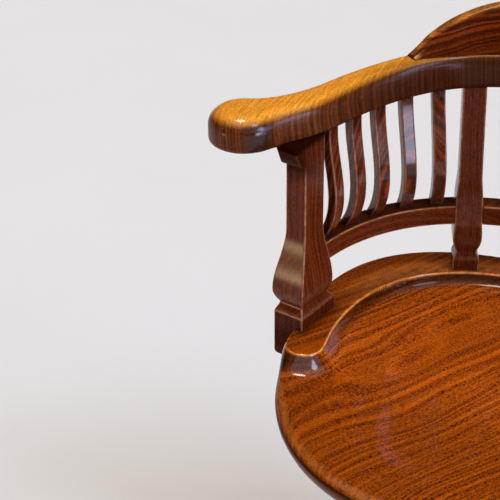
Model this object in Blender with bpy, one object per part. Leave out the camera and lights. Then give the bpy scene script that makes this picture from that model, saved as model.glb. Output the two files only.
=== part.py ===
"""Oak swivel desk chair: a horseshoe arm bow over slats and shaped posts, on a saddle seat that tilts
on a sprung iron, turns, and screws up and down on a base with four swept legs and casters.

Blender 4.5 script in metres, +Z up, front towards -Y, origin on the floor under the swivel axis.
"""
import math

import bmesh
import bpy
from mathutils import Matrix, Vector

for item in list(bpy.data.objects):
    bpy.data.objects.remove(item, do_unlink=True)

# Driving dimensions in metres; plan sizes are those of the +X half.
GAP = 0.0003  # clearance between pieces that touch

SEAT_HEIGHT = 0.450  # floor to the raised rim
SEAT_THICKNESS = 0.044
SEAT_WIDTH = 0.453  # across the flats that the front posts lap over
SEAT_BACK = 0.223  # swivel axis to the back edge
SEAT_FRONT = 0.265  # swivel axis to the front edge
SEAT_WIDEST = 0.003  # widest line of the outline behind the swivel axis
SEAT_SWELL = 0.003  # how far the round outline would pass each flat
SEAT_BACK_POWER = 2.7  # squareness of the outline behind the posts
SEAT_FRONT_POWER = 2.2
SEAT_EDGE = 0.010  # rounding of the underside and of the front edge
RIM_EDGE = 0.004  # rounding of the rim's outer edge
RIM_WIDTH_SIDE = 0.0415
RIM_WIDTH_BACK = 0.042
RIM_DROP = 0.016  # rim down to the front edge
SCOOP_WALL = 0.010
SCOOP_RISE = 0.45  # share of the dish's depth that the rolled wall's foot stands at
DISH_DEPTH = 0.021
SADDLE_RISE = 0.002  # swell left between the two hollows of the dish
BELLY_RISE = 0.42  # share of the thickness at which the edge is fullest
BELLY_SWELL = 0.002
NOSE_REACH = 0.054  # rim's front end ahead of the seat's middle
NOSE_STEP = 0.035  # share of the half outline over which the nose falls to the front edge

PLINTH_WIDTH = 0.0384
PLINTH_DEPTH = 0.0657
PLINTH_RISE = 0.014  # rim to the plinth's arris
PLINTH_LAP = 0.043  # rim down to the plinth's foot
PLINTH_CHAMFER = 0.005
POST_TURN = math.radians(15)  # the posts face a little inwards
POST_IN = 0.0015  # plinth centre inside the seat's flat
POST_Y = 0.0145
NECK_WIDTH = 0.0305
NECK_DEPTH = 0.051
NECK_HEIGHT = 0.026
NECK_FORWARD = 0.002
BULB_WIDTH = 0.042
BULB_DEPTH = 0.060
BULB_HEIGHT = 0.044
BULB_FORWARD = 0.0045
WAIST_WIDTH = 0.026
WAIST_DEPTH = 0.0355
WAIST_HEIGHT = 0.117
WAIST_FORWARD = 0.0015
HEAD_HEIGHT = 0.026  # corbel in front of the post's head, under the arm
HEAD_LEDGE = 0.008
HEAD_LEDGE_SHARE = 0.15  # of the head's height, over which the ledge comes out
HEAD_FLARE = 0.017
HEAD_TURN = math.radians(4)
HEAD_OUT = 0.001
ARRIS = 0.0015  # eased corners of the square posts

RAIL_BOTTOM = 0.063  # above the rim
RAIL_HEIGHT = 0.024
RAIL_DEPTH = 0.025
RAIL_INSET = 0.0245  # seat's back edge to the rail's centre line
RAIL_REACH = 0.107  # handles of the horseshoe curve
RAIL_SWEEP = 0.110
SIDE_SLATS = 5
BACK_SLATS = 3
SLAT_WIDTH = 0.0154
SLAT_THICKNESS = 0.012
SLAT_SET = 0.0015  # slats stand outside the rail's centre line
SLAT_BOW = 0.0146  # deepest a third of the way up
SLAT_START = 0.4  # share of a pitch from the front post to the first slat
SLAT_HEAD_IN = 0.0075  # arm's inner edge to a slat's middle
REAR_POST_AT = 0.212  # along the rail's centre line from the front post
REAR_POST_WIDTH = 0.032
REAR_POST_DEPTH = 0.030
REAR_POST_TAPER = 0.15  # share by which it narrows over the rail
REAR_POST_HEAD_IN = 0.014  # arm's inner edge to the post's middle

ARM_UNDER = 0.2245  # rim to the arm's underside
ARM_THICKNESS = 0.038
ARM_BACK = 0.003  # bow's inner edge ahead of the seat's back edge
ARM_BACK_WIDTH = 0.046
ARM_REACH = 0.120
ARM_SWEEP = 0.123
ARM_ANGLE = math.radians(21)
ARM_INNER = Vector((-0.015, 0.0135))  # from the post's centre
ARM_NECK = Vector((0.025, 0.0465))
ARM_NECK_ANGLE = math.radians(34)
ARM_NECK_REACH = 0.075
ARM_OUTER_SWEEP = 0.170
PADDLE_CENTRE = Vector((0.060, -0.0295))
PADDLE_RADIUS = 0.0385
ARM_TOP_ROUND = 0.012
ARM_UNDER_ROUND = 0.005
UNDER_CREST_ROUND = 0.3  # share of the arm's rounding that is left beside the crest
CREST_HEIGHT = 0.058
CREST_END_HEIGHT = 0.008
CREST_HALF_SPAN = 0.160
CREST_WIDTH = 0.034
CREST_TOP_WIDTH = 0.020
CREST_LEAN = 0.008

IRON_THICKNESS = 0.006
IRON_CENTRE = 0.078  # radius between the four arms
IRON_ARM = 0.145  # radius of the arms' ends
EAR_THICKNESS = 0.008
EAR_WIDTH = 0.034
PIVOT_AHEAD = 0.030  # tilt axis in front of the swivel axis
PIVOT_DROP = 0.036  # seat's underside down to the tilt axis
PIN_RADIUS = 0.008
CRADLE_WIDTH = 0.076
CRADLE_PLATE = 0.009
CRADLE_PLATE_DROP = 0.063  # seat's underside down to the plate's top
STOP_AHEAD = 0.040  # front stop ahead of the tilt axis
CRADLE_BOSS_RADIUS = 0.028
CRADLE_BOSS_LENGTH = 0.026
SPRING_BEHIND = 0.055  # springs behind the swivel axis
SPRING_SPREAD = 0.0225
SPRING_RADIUS = 0.0135
SPRING_WIRE = 0.0021
SPRING_TURNS = 6

SPINDLE_RADIUS = 0.0125
SPINDLE_BELOW_HUB_TOP = 0.120
SPINDLE_DROP = 0.012  # room left in the bore under the spindle
HUB_DROP = 0.144  # seat's underside down to the hub's top
HUB_LENGTH = 0.154
HUB_WIDTH = 0.100
HUB_CHAMFER = 0.016
HUB_CAP = 0.028  # moulded top above the legs
SLEEVE_RADIUS = 0.021
SLEEVE_DEPTH = 0.070
SLEEVE_FLANGE_RADIUS = 0.040
SLEEVE_FLANGE = 0.005
COLLAR_RADIUS = 0.034
COLLAR_THICKNESS = 0.006
NUT_HEIGHT = 0.027
NUT_RADIUS = 0.026
NUT_WHEEL_RADIUS = 0.054
NUT_WHEEL_THICKNESS = 0.010
NUT_SCALLOPS = 8
NUT_SCALLOP = 0.003

LEG_COUNT = 4
LEG_TIP = 0.278
LEG_FOOT = 0.046  # length of the flat under the foot
LEG_FOOT_HEIGHT = 0.030
LEG_WIDTH = 0.042
LEG_ROOT = 0.100  # height where the leg meets the hub
LEG_ROUND = 0.004
LEG_TOE_ROUND = 0.006

WHEEL_RADIUS = 0.025
WHEEL_WIDTH = 0.018
WHEEL_BORE = 0.0033
CASTER_TRAIL = 0.016
STEM_RADIUS = 0.0055
STEM_LENGTH = 0.026
SOCKET_RADIUS = 0.0095
SOCKET_FLANGE_RADIUS = 0.016
SOCKET_FLANGE = 0.003
HORN_CAP_RADIUS = 0.0145
HORN_CAP = 0.004
HORN_BRIDGE = 0.009  # between the wheel and the cap
HORN_CHEEK = 0.003
HORN_CHEEK_WIDTH = 0.014
HORN_SIDE_GAP = 0.0012
CASTER_TURNS = [math.radians(a) for a in (30, -50, 160, 75)]

# Heights and places that several pieces share.
HORN_HEIGHT = HORN_SIDE_GAP + HORN_BRIDGE + HORN_CAP
CASTER_HEIGHT = 2 * WHEEL_RADIUS + HORN_HEIGHT + SOCKET_FLANGE + 2 * GAP
LEG_TURN = math.pi / LEG_COUNT
CASTER_SEAT = LEG_TIP - LEG_FOOT / 2  # radius of the caster stems
SEAT_UNDER = SEAT_HEIGHT - SEAT_THICKNESS
HUB_TOP = SEAT_UNDER - HUB_DROP
HUB_BOTTOM = HUB_TOP - HUB_LENGTH
ARM_Z = SEAT_HEIGHT + ARM_UNDER
ARM_TOP = ARM_Z + ARM_THICKNESS
RAIL_Z = SEAT_HEIGHT + RAIL_BOTTOM
RAIL_TOP = RAIL_Z + RAIL_HEIGHT
IRON_UNDER = SEAT_UNDER - GAP - IRON_THICKNESS
PIVOT = Vector((0, -PIVOT_AHEAD, SEAT_UNDER - PIVOT_DROP))
PLATE_TOP = SEAT_UNDER - CRADLE_PLATE_DROP
BOSS_BOTTOM = PLATE_TOP - CRADLE_PLATE - CRADLE_BOSS_LENGTH
FLANGE_TOP = HUB_TOP + GAP + SLEEVE_FLANGE
COLLAR_TOP = FLANGE_TOP + GAP + COLLAR_THICKNESS
NUT_TOP = COLLAR_TOP + GAP + NUT_HEIGHT
SEAT_MIDDLE = Vector((0, SEAT_WIDEST))
POST_CENTRE = Vector((SEAT_WIDTH / 2 - POST_IN, POST_Y))


def material(name, red, green, blue, roughness, metallic):
    made = bpy.data.materials.new(name)
    made.use_nodes = True
    shader = made.node_tree.nodes["Principled BSDF"]
    shader.inputs["Base Color"].default_value = (red, green, blue, 1)
    shader.inputs["Roughness"].default_value = roughness
    shader.inputs["Metallic"].default_value = metallic
    return made


AMBER_OAK = material("amber_oak", 0.46, 0.17, 0.025, 0.30, 0)
SEAT_OAK = material("seat_oak", 0.36, 0.11, 0.018, 0.28, 0)
DARK_OAK = material("dark_oak", 0.10, 0.026, 0.010, 0.30, 0)
BASE_OAK = material("base_oak", 0.15, 0.045, 0.014, 0.35, 0)
CAST_IRON = material("cast_iron", 0.035, 0.033, 0.031, 0.55, 0.8)
STEEL = material("steel", 0.30, 0.29, 0.27, 0.35, 1)
BRASS = material("brass", 0.42, 0.27, 0.09, 0.40, 1)
CASTER_WOOD = material("caster_wood", 0.09, 0.030, 0.012, 0.45, 0)


def empty(name, place, turn=0.0, parent=None):
    """A joint's axis: the pieces that move on it are its children."""
    axis = bpy.data.objects.new(name, None)
    axis.location = place
    axis.rotation_euler = (0, 0, turn)
    axis.parent = parent
    bpy.context.collection.objects.link(axis)
    return axis


def node(name, bm, finish, axis=None, origin=Vector((0, 0, 0)), turn=0.0):
    """Make the bmesh an object; its world points are moved to be about the origin given."""
    bmesh.ops.remove_doubles(bm, verts=bm.verts, dist=1e-6)
    bmesh.ops.translate(bm, verts=bm.verts, vec=-origin)
    bmesh.ops.recalc_face_normals(bm, faces=bm.faces)
    mesh = bpy.data.meshes.new(name)
    bm.to_mesh(mesh)
    bm.free()
    mesh.materials.append(finish)
    made = bpy.data.objects.new(name, mesh)
    made.parent = axis
    made.rotation_euler = (0, 0, turn)
    bpy.context.collection.objects.link(made)
    return made


def loft(loops, ring=False):
    """Skin between loops of equally many points; a ring joins the last loop to the first."""
    bm = bmesh.new()
    rows = [[bm.verts.new(point) for point in loop] for loop in loops]
    pairs = list(zip(rows, rows[1:]))
    if ring:
        pairs.append((rows[-1], rows[0]))
    for low, high in pairs:
        for i in range(len(low)):
            j = (i + 1) % len(low)
            bm.faces.new((low[i], low[j], high[j], high[i]))
    if not ring:
        bm.faces.new(rows[0][::-1])
        bm.faces.new(rows[-1])
    return bm


def circle(radius, z, steps, scallop=0.0, count=0):
    points = []
    for i in range(steps):
        angle = math.tau * i / steps
        r = radius + scallop * math.cos(count * angle)
        points.append(Vector((r * math.cos(angle), r * math.sin(angle), z)))
    return points


def lathe(profile, steps=24, ring=False):
    """Turn a profile of (radius, z) about Z."""
    return loft([circle(r, z, steps) for r, z in profile], ring)


def box(low, high):
    bm = bmesh.new()
    size = Vector(high) - Vector(low)
    middle = (Vector(high) + Vector(low)) / 2
    bmesh.ops.create_cube(bm, size=1, matrix=Matrix.Translation(middle) @ Matrix.Diagonal(size.to_4d()))
    return bm


def moved(bm, shift):
    bmesh.ops.translate(bm, verts=bm.verts, vec=shift)
    return bm


def combine(target, bm, operation):
    """Fuse a bmesh with an object, or cut it out of it, with a hidden helper object."""
    helper = node(target.name + "_helper", bm, target.data.materials[0])
    helper.parent = target.parent
    helper.rotation_euler = target.rotation_euler
    helper.hide_render = True
    helper.display_type = "WIRE"
    step = target.modifiers.new(operation.lower(), "BOOLEAN")
    step.operation = operation
    step.solver = "EXACT"
    step.object = helper
    bpy.context.view_layer.update()
    shaped = target.evaluated_get(bpy.context.evaluated_depsgraph_get())
    mesh = bpy.data.meshes.new_from_object(shaped)
    target.modifiers.remove(step)
    target.data = mesh
    bpy.data.objects.remove(helper, do_unlink=True)


def bezier(a, b, c, d, count):
    points = []
    for i in range(count + 1):
        t = i / count
        s = 1 - t
        points.append(a * s**3 + b * (3 * s * s * t) + c * (3 * s * t * t) + d * t**3)
    return points


def bow(front, angle, reach, back_y, sweep, count=18):
    """Half a horseshoe in plan, from its front point at +X to the back centre."""
    lead = Vector((-math.sin(angle), math.cos(angle))) * reach
    back = Vector((0, back_y))
    return bezier(front, front + lead, back + Vector((sweep, 0)), back, count)


def tangent(points, i):
    return (points[min(i + 1, len(points) - 1)] - points[max(i - 1, 0)]).normalized()


def outward(along):
    """Plan normal on the outer side of a bow that runs from the front to the back."""
    return Vector((along.y, -along.x))


def at_length(points, length):
    """Place and direction on a plan line at a length from its start."""
    for a, b in zip(points, points[1:]):
        step = (b - a).length
        if length <= step or b is points[-1]:
            return a + (b - a) * (length / step), (b - a).normalized()
        length -= step


def total_length(points):
    return sum((b - a).length for a, b in zip(points, points[1:]))


def mirrored(point, side):
    return Vector((point[0] * side, *point[1:]))


def inset(outline, amount):
    """Move an open outline, walked with its inside on the left, inwards by an amount for each point."""
    inner = []
    for i, point in enumerate(outline):
        along = tangent(outline, i)
        inner.append(point + Vector((-along.y, along.x)) * amount[i])
    return inner


def ease(t):
    t = min(max(t, 0), 1)
    return t * t * (3 - 2 * t)


def seat_point(t):
    """Outline of the seat on the +X half for t from -1 (front) over 0 (widest) to 1 (back)."""
    angle = t * math.pi / 2
    power = SEAT_BACK_POWER if t > 0 else SEAT_FRONT_POWER
    reach = SEAT_BACK - SEAT_MIDDLE.y if t > 0 else SEAT_FRONT + SEAT_MIDDLE.y
    x = (SEAT_WIDTH / 2 + SEAT_SWELL) * max(math.cos(angle), 0) ** (2 / power)
    y = math.copysign(abs(math.sin(angle)) ** (2 / power), t) * reach
    return SEAT_MIDDLE + Vector((x, y))


def seat_board():
    """Saddle seat: a raised rim round the back and sides that ends in a nose ahead of each post."""
    nose = math.asin((NOSE_REACH / (SEAT_FRONT + SEAT_MIDDLE.y)) ** (SEAT_FRONT_POWER / 2)) / (math.pi / 2)
    back = [1 - i / 17 * (1 + nose) for i in range(18)]
    foot = nose + NOSE_STEP
    front = [-foot - i / 11 * (1 - foot) for i in range(12)]
    half = back + front
    ends = [(t, 1) for t in half] + [(t, -1) for t in half[-2:0:-1]]
    limit = SEAT_WIDTH / 2
    rings = [[] for _ in range(10)]
    for t, side in ends:
        edge = seat_point(t)
        ray = (edge - SEAT_MIDDLE).normalized()
        reach = (edge - SEAT_MIDDLE).length
        raised = t >= -nose - 1e-9
        rim = RIM_WIDTH_SIDE + (RIM_WIDTH_BACK - RIM_WIDTH_SIDE) * max(t, 0)
        shelf = rim if raised else SEAT_EDGE * 2
        top = SEAT_HEIGHT - (0 if raised else RIM_DROP)
        brim = RIM_EDGE if raised else SEAT_EDGE
        floor = SEAT_HEIGHT - DISH_DEPTH
        wall = floor + (top - floor) * (SCOOP_RISE if raised else 1 - SCOOP_RISE / 2)
        dish = reach - shelf - SCOOP_WALL
        spots = [
            (reach - SEAT_EDGE, SEAT_UNDER),
            (reach - BELLY_SWELL, SEAT_UNDER + SEAT_EDGE),
            (reach, SEAT_UNDER + SEAT_THICKNESS * BELLY_RISE),
            (reach - brim * 0.3, top - brim * 0.6),
            (reach - brim, top),
            (reach - shelf, top),
            (dish, wall),
            (dish * 0.78, floor + 0.15 * (wall - floor)),
            (dish * 0.45, floor),
            (dish * 0.15, floor + SADDLE_RISE),
        ]
        for ring, (far, z) in zip(rings, spots):
            plan = SEAT_MIDDLE + ray * far
            ring.append(Vector((min(plan.x, limit) * side, plan.y, z)))
    return loft(rings)


def post_section(height):
    """Width, depth, forward shift, turn and outward shift of a front post at a height over the rim."""
    if height <= PLINTH_RISE:
        return PLINTH_WIDTH, PLINTH_DEPTH, 0, 0, 0
    if height <= NECK_HEIGHT:
        grow = ease((height - PLINTH_RISE) / (NECK_HEIGHT - PLINTH_RISE))
        sizes = (PLINTH_WIDTH, PLINTH_DEPTH, 0), (NECK_WIDTH, NECK_DEPTH, NECK_FORWARD)
    elif height <= BULB_HEIGHT:
        grow = math.sin(math.pi / 2 * (height - NECK_HEIGHT) / (BULB_HEIGHT - NECK_HEIGHT))
        sizes = (NECK_WIDTH, NECK_DEPTH, NECK_FORWARD), (BULB_WIDTH, BULB_DEPTH, BULB_FORWARD)
    else:
        grow = ease((height - BULB_HEIGHT) / (WAIST_HEIGHT - BULB_HEIGHT))
        sizes = (BULB_WIDTH, BULB_DEPTH, BULB_FORWARD), (WAIST_WIDTH, WAIST_DEPTH, WAIST_FORWARD)
    width, depth, forward = (a + (b - a) * grow for a, b in zip(*sizes))
    head = max(0, (height - ARM_UNDER + HEAD_HEIGHT) / HEAD_HEIGHT)
    flare = HEAD_LEDGE * min(1, head / HEAD_LEDGE_SHARE) + (HEAD_FLARE - HEAD_LEDGE) * head
    return width, depth + flare, forward + flare / 2, HEAD_TURN * head, HEAD_OUT * head


def square_loop(centre, angle, width, depth, z, ease_corner):
    """Square with eased corners, turned about Z, width along its own x and depth along its own y."""
    a, b, c = width / 2, depth / 2, ease_corner
    right = [(a - c, -b), (a, c - b), (a, b - c), (a - c, b)]
    corners = right + [(-x, -y) for x, y in right]
    spin = Matrix.Rotation(angle, 2)
    return [(centre + spin @ Vector(corner)).to_3d() + Vector((0, 0, z)) for corner in corners]


def front_post(side):
    """Square baluster whose plinth is notched over the seat's edge and laps down its side."""
    foot = [-PLINTH_LAP, -PLINTH_LAP + PLINTH_CHAMFER, PLINTH_RISE]
    ogee = [PLINTH_RISE + PLINTH_CHAMFER, NECK_HEIGHT, (NECK_HEIGHT + BULB_HEIGHT) / 2, BULB_HEIGHT]
    taper = [RAIL_BOTTOM, RAIL_BOTTOM + RAIL_HEIGHT / 2, RAIL_BOTTOM + RAIL_HEIGHT]
    waist = [(RAIL_BOTTOM + RAIL_HEIGHT + WAIST_HEIGHT) / 2, WAIST_HEIGHT, ARM_UNDER - HEAD_HEIGHT]
    head = [ARM_UNDER - HEAD_HEIGHT * (1 - HEAD_LEDGE_SHARE), ARM_UNDER - GAP]
    loops = []
    for height in foot + ogee + taper + waist + head:
        width, depth, forward, turn, out = post_section(height)
        if height == -PLINTH_LAP:
            width -= PLINTH_CHAMFER
            depth -= PLINTH_CHAMFER
        axes = Matrix.Rotation(POST_TURN, 2)
        centre = POST_CENTRE + axes @ Vector((out, -forward))
        loop = square_loop(centre, POST_TURN + turn, width, depth, SEAT_HEIGHT + height, ARRIS)
        loops.append([mirrored(point, side) for point in loop])
    post = node("front_post_" + SIDE_NAMES[side], loft(loops), DARK_OAK, TILT, PIVOT)
    flat = SEAT_WIDTH / 2 + GAP
    across = sorted((side * flat, side * (flat - PLINTH_DEPTH)))
    reach = PLINTH_DEPTH + PLINTH_WIDTH
    notch = box(
        (across[0], POST_Y - reach, SEAT_HEIGHT - 2 * PLINTH_LAP),
        (across[1], POST_Y + reach, SEAT_HEIGHT + GAP),
    )
    combine(post, moved(notch, -PIVOT), "DIFFERENCE")


def post_back(height):
    """How far a front post's back face lies behind its centre at a height over the rim."""
    width, depth, forward, turn, out = post_section(height)
    return depth / 2 - forward


def rail_line():
    """Centre line of the lower rail on the +X half, from the front post's back face."""
    along = Vector((-math.sin(POST_TURN), math.cos(POST_TURN)))
    start = POST_CENTRE + along * post_back(RAIL_BOTTOM + RAIL_HEIGHT / 2)
    return bow(start, POST_TURN, RAIL_REACH, SEAT_BACK - RAIL_INSET, RAIL_SWEEP, 40)


def arm_edges():
    """Inner and outer edges of the arm bow on the +X half, each from its front to the back centre."""
    inner_back = SEAT_BACK - ARM_BACK
    inner = bow(POST_CENTRE + ARM_INNER, ARM_ANGLE, ARM_REACH, inner_back, ARM_SWEEP)
    outer_back = inner_back + ARM_BACK_WIDTH
    outer = bow(POST_CENTRE + ARM_NECK, ARM_NECK_ANGLE, ARM_NECK_REACH, outer_back, ARM_OUTER_SWEEP)
    return inner, outer


RAIL_LINE = rail_line()
ARM_INNER_EDGE, ARM_OUTER_EDGE = arm_edges()
RAIL_LENGTH = total_length(RAIL_LINE)
SIDE_NAMES = {1: "right", -1: "left"}


def arm_outline():
    """Arm in plan: the inner edge forwards, round the paddle, and the outer edge back."""
    centre = POST_CENTRE + PADDLE_CENTRE
    start, stop = math.radians(205), math.radians(435)
    paddle = []
    for i in range(15):
        angle = start + (stop - start) * i / 14
        paddle.append(centre + Vector((math.cos(angle), math.sin(angle))) * PADDLE_RADIUS)
    inner = ARM_INNER_EDGE[::-1]
    lead = Vector((math.sin(ARM_ANGLE), -math.cos(ARM_ANGLE))) * PADDLE_RADIUS * 0.5
    arrive = Vector((math.sin(start), -math.cos(start))) * PADDLE_RADIUS * 0.5
    throat = bezier(inner[-1], inner[-1] + lead, paddle[0] + arrive, paddle[0], 4)
    leave = Vector((-math.sin(stop), math.cos(stop))) * PADDLE_RADIUS * 0.5
    into = Vector((math.sin(ARM_NECK_ANGLE), -math.cos(ARM_NECK_ANGLE))) * PADDLE_RADIUS * 0.5
    neck = bezier(paddle[-1], paddle[-1] + leave, ARM_OUTER_EDGE[0] + into, ARM_OUTER_EDGE[0], 5)
    outline = inner + throat[1:-1] + paddle + neck[1:-1] + ARM_OUTER_EDGE
    for end in (outline[0], outline[-1]):
        end.x = GAP / 2
    return outline


def arm(side):
    """Sawn half of the bow with a rounded top edge, which fades where the crest sits."""
    outline = arm_outline()
    shares = []
    for point in outline:
        clear = ease((point.x - CREST_HALF_SPAN * 0.8) / (CREST_HALF_SPAN * 0.4))
        shares.append(UNDER_CREST_ROUND + (1 - UNDER_CREST_ROUND) * clear)
    spots = [
        (ARM_UNDER_ROUND, 0),
        (0, ARM_UNDER_ROUND),
        (0, ARM_THICKNESS - ARM_TOP_ROUND),
        (ARM_TOP_ROUND * 0.13, ARM_THICKNESS - ARM_TOP_ROUND * 0.5),
        (ARM_TOP_ROUND * 0.5, ARM_THICKNESS - ARM_TOP_ROUND * 0.13),
        (ARM_TOP_ROUND, ARM_THICKNESS),
    ]
    loops = []
    for amount, rise in spots:
        shifted = inset(outline, [amount * share for share in shares])
        loops.append([Vector((p.x * side, p.y, ARM_Z + rise)) for p in shifted])
    node("arm_" + SIDE_NAMES[side], loft(loops), AMBER_OAK, TILT, PIVOT)


def crest_rail():
    """Low crest over the joint of the two arms, swept along the bow and ramped down at both ends."""
    line = [(a + b) / 2 for a, b in zip(ARM_INNER_EDGE, ARM_OUTER_EDGE)]
    whole = line + [mirrored(point, -1) for point in line[-2::-1]]
    span = [i for i, point in enumerate(whole) if abs(point.x) <= CREST_HALF_SPAN]
    loops = []
    for i in span:
        side = outward(tangent(whole, i))
        rise = math.cos(math.pi / 2 * min(abs(whole[i].x) / CREST_HALF_SPAN, 1) ** 1.6)
        height = CREST_END_HEIGHT + (CREST_HEIGHT - CREST_END_HEIGHT) * rise
        lean = CREST_LEAN * height / CREST_HEIGHT
        easing = CREST_TOP_WIDTH * 0.25
        spots = [
            (-CREST_WIDTH / 2, 0),
            (lean - CREST_TOP_WIDTH / 2, height - easing),
            (lean - CREST_TOP_WIDTH / 2 + easing, height),
            (lean + CREST_TOP_WIDTH / 2 - easing, height),
            (lean + CREST_TOP_WIDTH / 2, height - easing),
            (CREST_WIDTH / 2, 0),
        ]
        low = Vector((0, 0, ARM_TOP + GAP))
        loops.append([(whole[i] + side * far).to_3d() + low + Vector((0, 0, z)) for far, z in spots])
    node("crest_rail", loft(loops), AMBER_OAK, TILT, PIVOT)


def slat_top(length, head_in):
    """Foot of a slat at a length along the rail, the rail's normal there, and how far its head leans out."""
    foot, along = at_length(RAIL_LINE, length)
    side = outward(along)
    foot += side * SLAT_SET
    leans = []
    for i, edge in enumerate(ARM_INNER_EDGE):
        point = edge + outward(tangent(ARM_INNER_EDGE, i)) * head_in
        if abs((point - foot).dot(along)) < SLAT_WIDTH:
            leans.append((point - foot).dot(side))
    return foot, side, max(leans, default=0)


def slat(name, length, side):
    """Flat slat, bowed towards the sitter at the small of the back."""
    foot, across, lean = slat_top(length, SLAT_HEAD_IN)
    angle = math.atan2(across.y, across.x)
    low, high = RAIL_TOP + GAP, ARM_Z - GAP
    loops = []
    for i in range(10):
        t = i / 9
        belly = SLAT_BOW * 6.75 * t * (1 - t) ** 2
        centre = foot + across * (lean * t - belly)
        loop = square_loop(centre, angle, SLAT_THICKNESS, SLAT_WIDTH, low + (high - low) * t, ARRIS)
        loops.append([mirrored(point, side) for point in loop])
    node(name, loft(loops), DARK_OAK, TILT, PIVOT)


def rear_share(height):
    """Swelling of a rear post, after the front posts; it is straight where the rails meet it."""
    if height < RAIL_BOTTOM:
        return post_section(height)[0] / post_section(RAIL_BOTTOM)[0]
    return 1 - REAR_POST_TAPER * ease((height - RAIL_BOTTOM - RAIL_HEIGHT) / HEAD_HEIGHT)


def rear_post(side):
    """Post from the rim to the bow between the side and back slats; its sides are upright planes."""
    foot, across, lean = slat_top(REAR_POST_AT, REAR_POST_HEAD_IN)
    angle = math.atan2(across.y, across.x)
    heights = [GAP, PLINTH_RISE, PLINTH_RISE + PLINTH_CHAMFER, NECK_HEIGHT, (NECK_HEIGHT + BULB_HEIGHT) / 2]
    heights += [BULB_HEIGHT, RAIL_BOTTOM, RAIL_BOTTOM + RAIL_HEIGHT, WAIST_HEIGHT]
    loops = []
    for height in heights + [(WAIST_HEIGHT + ARM_UNDER) / 2, ARM_UNDER - GAP]:
        t = max(0, (height - RAIL_BOTTOM) / (ARM_UNDER - RAIL_BOTTOM))
        share = rear_share(height)
        centre = foot + across * lean * t
        width, depth = REAR_POST_WIDTH * share, REAR_POST_DEPTH * share
        loop = square_loop(centre, angle, depth, width, SEAT_HEIGHT + height, ARRIS)
        loops.append([mirrored(point, side) for point in loop])
    node("rear_post_" + SIDE_NAMES[side], loft(loops), DARK_OAK, TILT, PIVOT)


def rail_loop(place, along):
    """Cross-section of the rail: inner bottom, inner top, outer top and outer bottom."""
    side = outward(along) * (RAIL_DEPTH / 2)
    inner, outer = place - side, place + side
    return [inner.to_3d(), inner.to_3d(), outer.to_3d(), outer.to_3d()]


def rail_heights(loop):
    for point, z in zip(loop, (RAIL_Z, RAIL_TOP, RAIL_TOP, RAIL_Z)):
        point.z = z
    return loop


def against_post(loop, along, after):
    """Slide a rail's end along itself to lie against the side face of the rear post."""
    foot, across, lean = slat_top(REAR_POST_AT, REAR_POST_HEAD_IN)
    face = Vector((-across.y, across.x))
    face *= 1 if face.dot(along) > 0 else -1
    offset = (REAR_POST_WIDTH / 2 + GAP) * (1 if after else -1)
    for point in loop:
        shift = (offset - (point.to_2d() - foot).dot(face)) / along.dot(face)
        point += along.to_3d() * shift
    return loop


def rail_piece(start, stop, count):
    """Loops of the rail between two lengths along its centre line, with their directions."""
    loops = []
    for i in range(count + 1):
        place, along = at_length(RAIL_LINE, start + (stop - start) * i / count)
        loops.append((rail_loop(place, along), along))
    return loops


def side_rail(side):
    """Curved lower rail from the front post's sloping back face to the rear post."""
    pieces = rail_piece(0, REAR_POST_AT - REAR_POST_WIDTH / 2, 9)
    against_post(*pieces[-1], after=False)
    loops = [rail_heights(loop) for loop, along in pieces]
    along = Vector((-math.sin(POST_TURN), math.cos(POST_TURN), 0))
    middle = post_back(RAIL_BOTTOM + RAIL_HEIGHT / 2)
    for point in loops[0]:
        point += along * (post_back(point.z - SEAT_HEIGHT) - middle + GAP)
    loops = [[mirrored(point, side) for point in loop] for loop in loops]
    node("side_rail_" + SIDE_NAMES[side], loft(loops), DARK_OAK, TILT, PIVOT)


def back_rail():
    pieces = rail_piece(REAR_POST_AT + REAR_POST_WIDTH / 2, RAIL_LENGTH, 6)
    against_post(*pieces[0], after=True)
    half = [rail_heights(loop) for loop, along in pieces]
    other = [[mirrored(point, -1) for point in loop] for loop in half[-2::-1]]
    node("back_rail", loft(half + other), DARK_OAK, TILT, PIVOT)


def slats():
    side_room = REAR_POST_AT - REAR_POST_WIDTH / 2
    pitch = side_room / SIDE_SLATS
    for side in (-1, 1):
        for i in range(SIDE_SLATS):
            slat(f"side_slat_{SIDE_NAMES[side]}_{i + 1}", pitch * (i + SLAT_START), side)
    room = 2 * (RAIL_LENGTH - REAR_POST_AT) - REAR_POST_WIDTH
    for i in range(BACK_SLATS):
        place = room * ((i + 1) / (BACK_SLATS + 1) - 0.5)
        slat(f"back_slat_{i + 1}", RAIL_LENGTH - abs(place), 1 if place >= 0 else -1)


def seat_iron():
    """Four-armed plate under the seat with two ears that hang from it and hold the tilt pin."""
    loops = []
    for z in (IRON_UNDER, SEAT_UNDER - GAP):
        loop = []
        for i in range(48):
            angle = math.tau * i / 48
            lobe = math.sin(2 * angle) ** 6
            r = IRON_CENTRE + (IRON_ARM - IRON_CENTRE) * lobe
            loop.append(Vector((r * math.cos(angle), r * math.sin(angle), z)))
        loops.append(loop)
    iron = node("seat_iron", loft(loops), CAST_IRON, TILT, PIVOT)
    inside = CRADLE_WIDTH / 2 + GAP
    for side in (-1, 1):
        loops = []
        for x in (inside, inside + EAR_THICKNESS):
            top = IRON_UNDER - PIVOT.z + IRON_THICKNESS / 2
            loop = [Vector((side * x, EAR_WIDTH / 2, top)), Vector((side * x, -EAR_WIDTH / 2, top))]
            for i in range(11):
                angle = math.pi + math.pi * i / 10
                y, z = EAR_WIDTH / 2 * math.cos(angle), EAR_WIDTH / 2 * math.sin(angle)
                loop.append(Vector((side * x, y, z)))
            loops.append(loop)
        combine(iron, loft(loops), "UNION")
    combine(iron, pin_shape(PIN_RADIUS + GAP, CRADLE_WIDTH), "DIFFERENCE")


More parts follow.
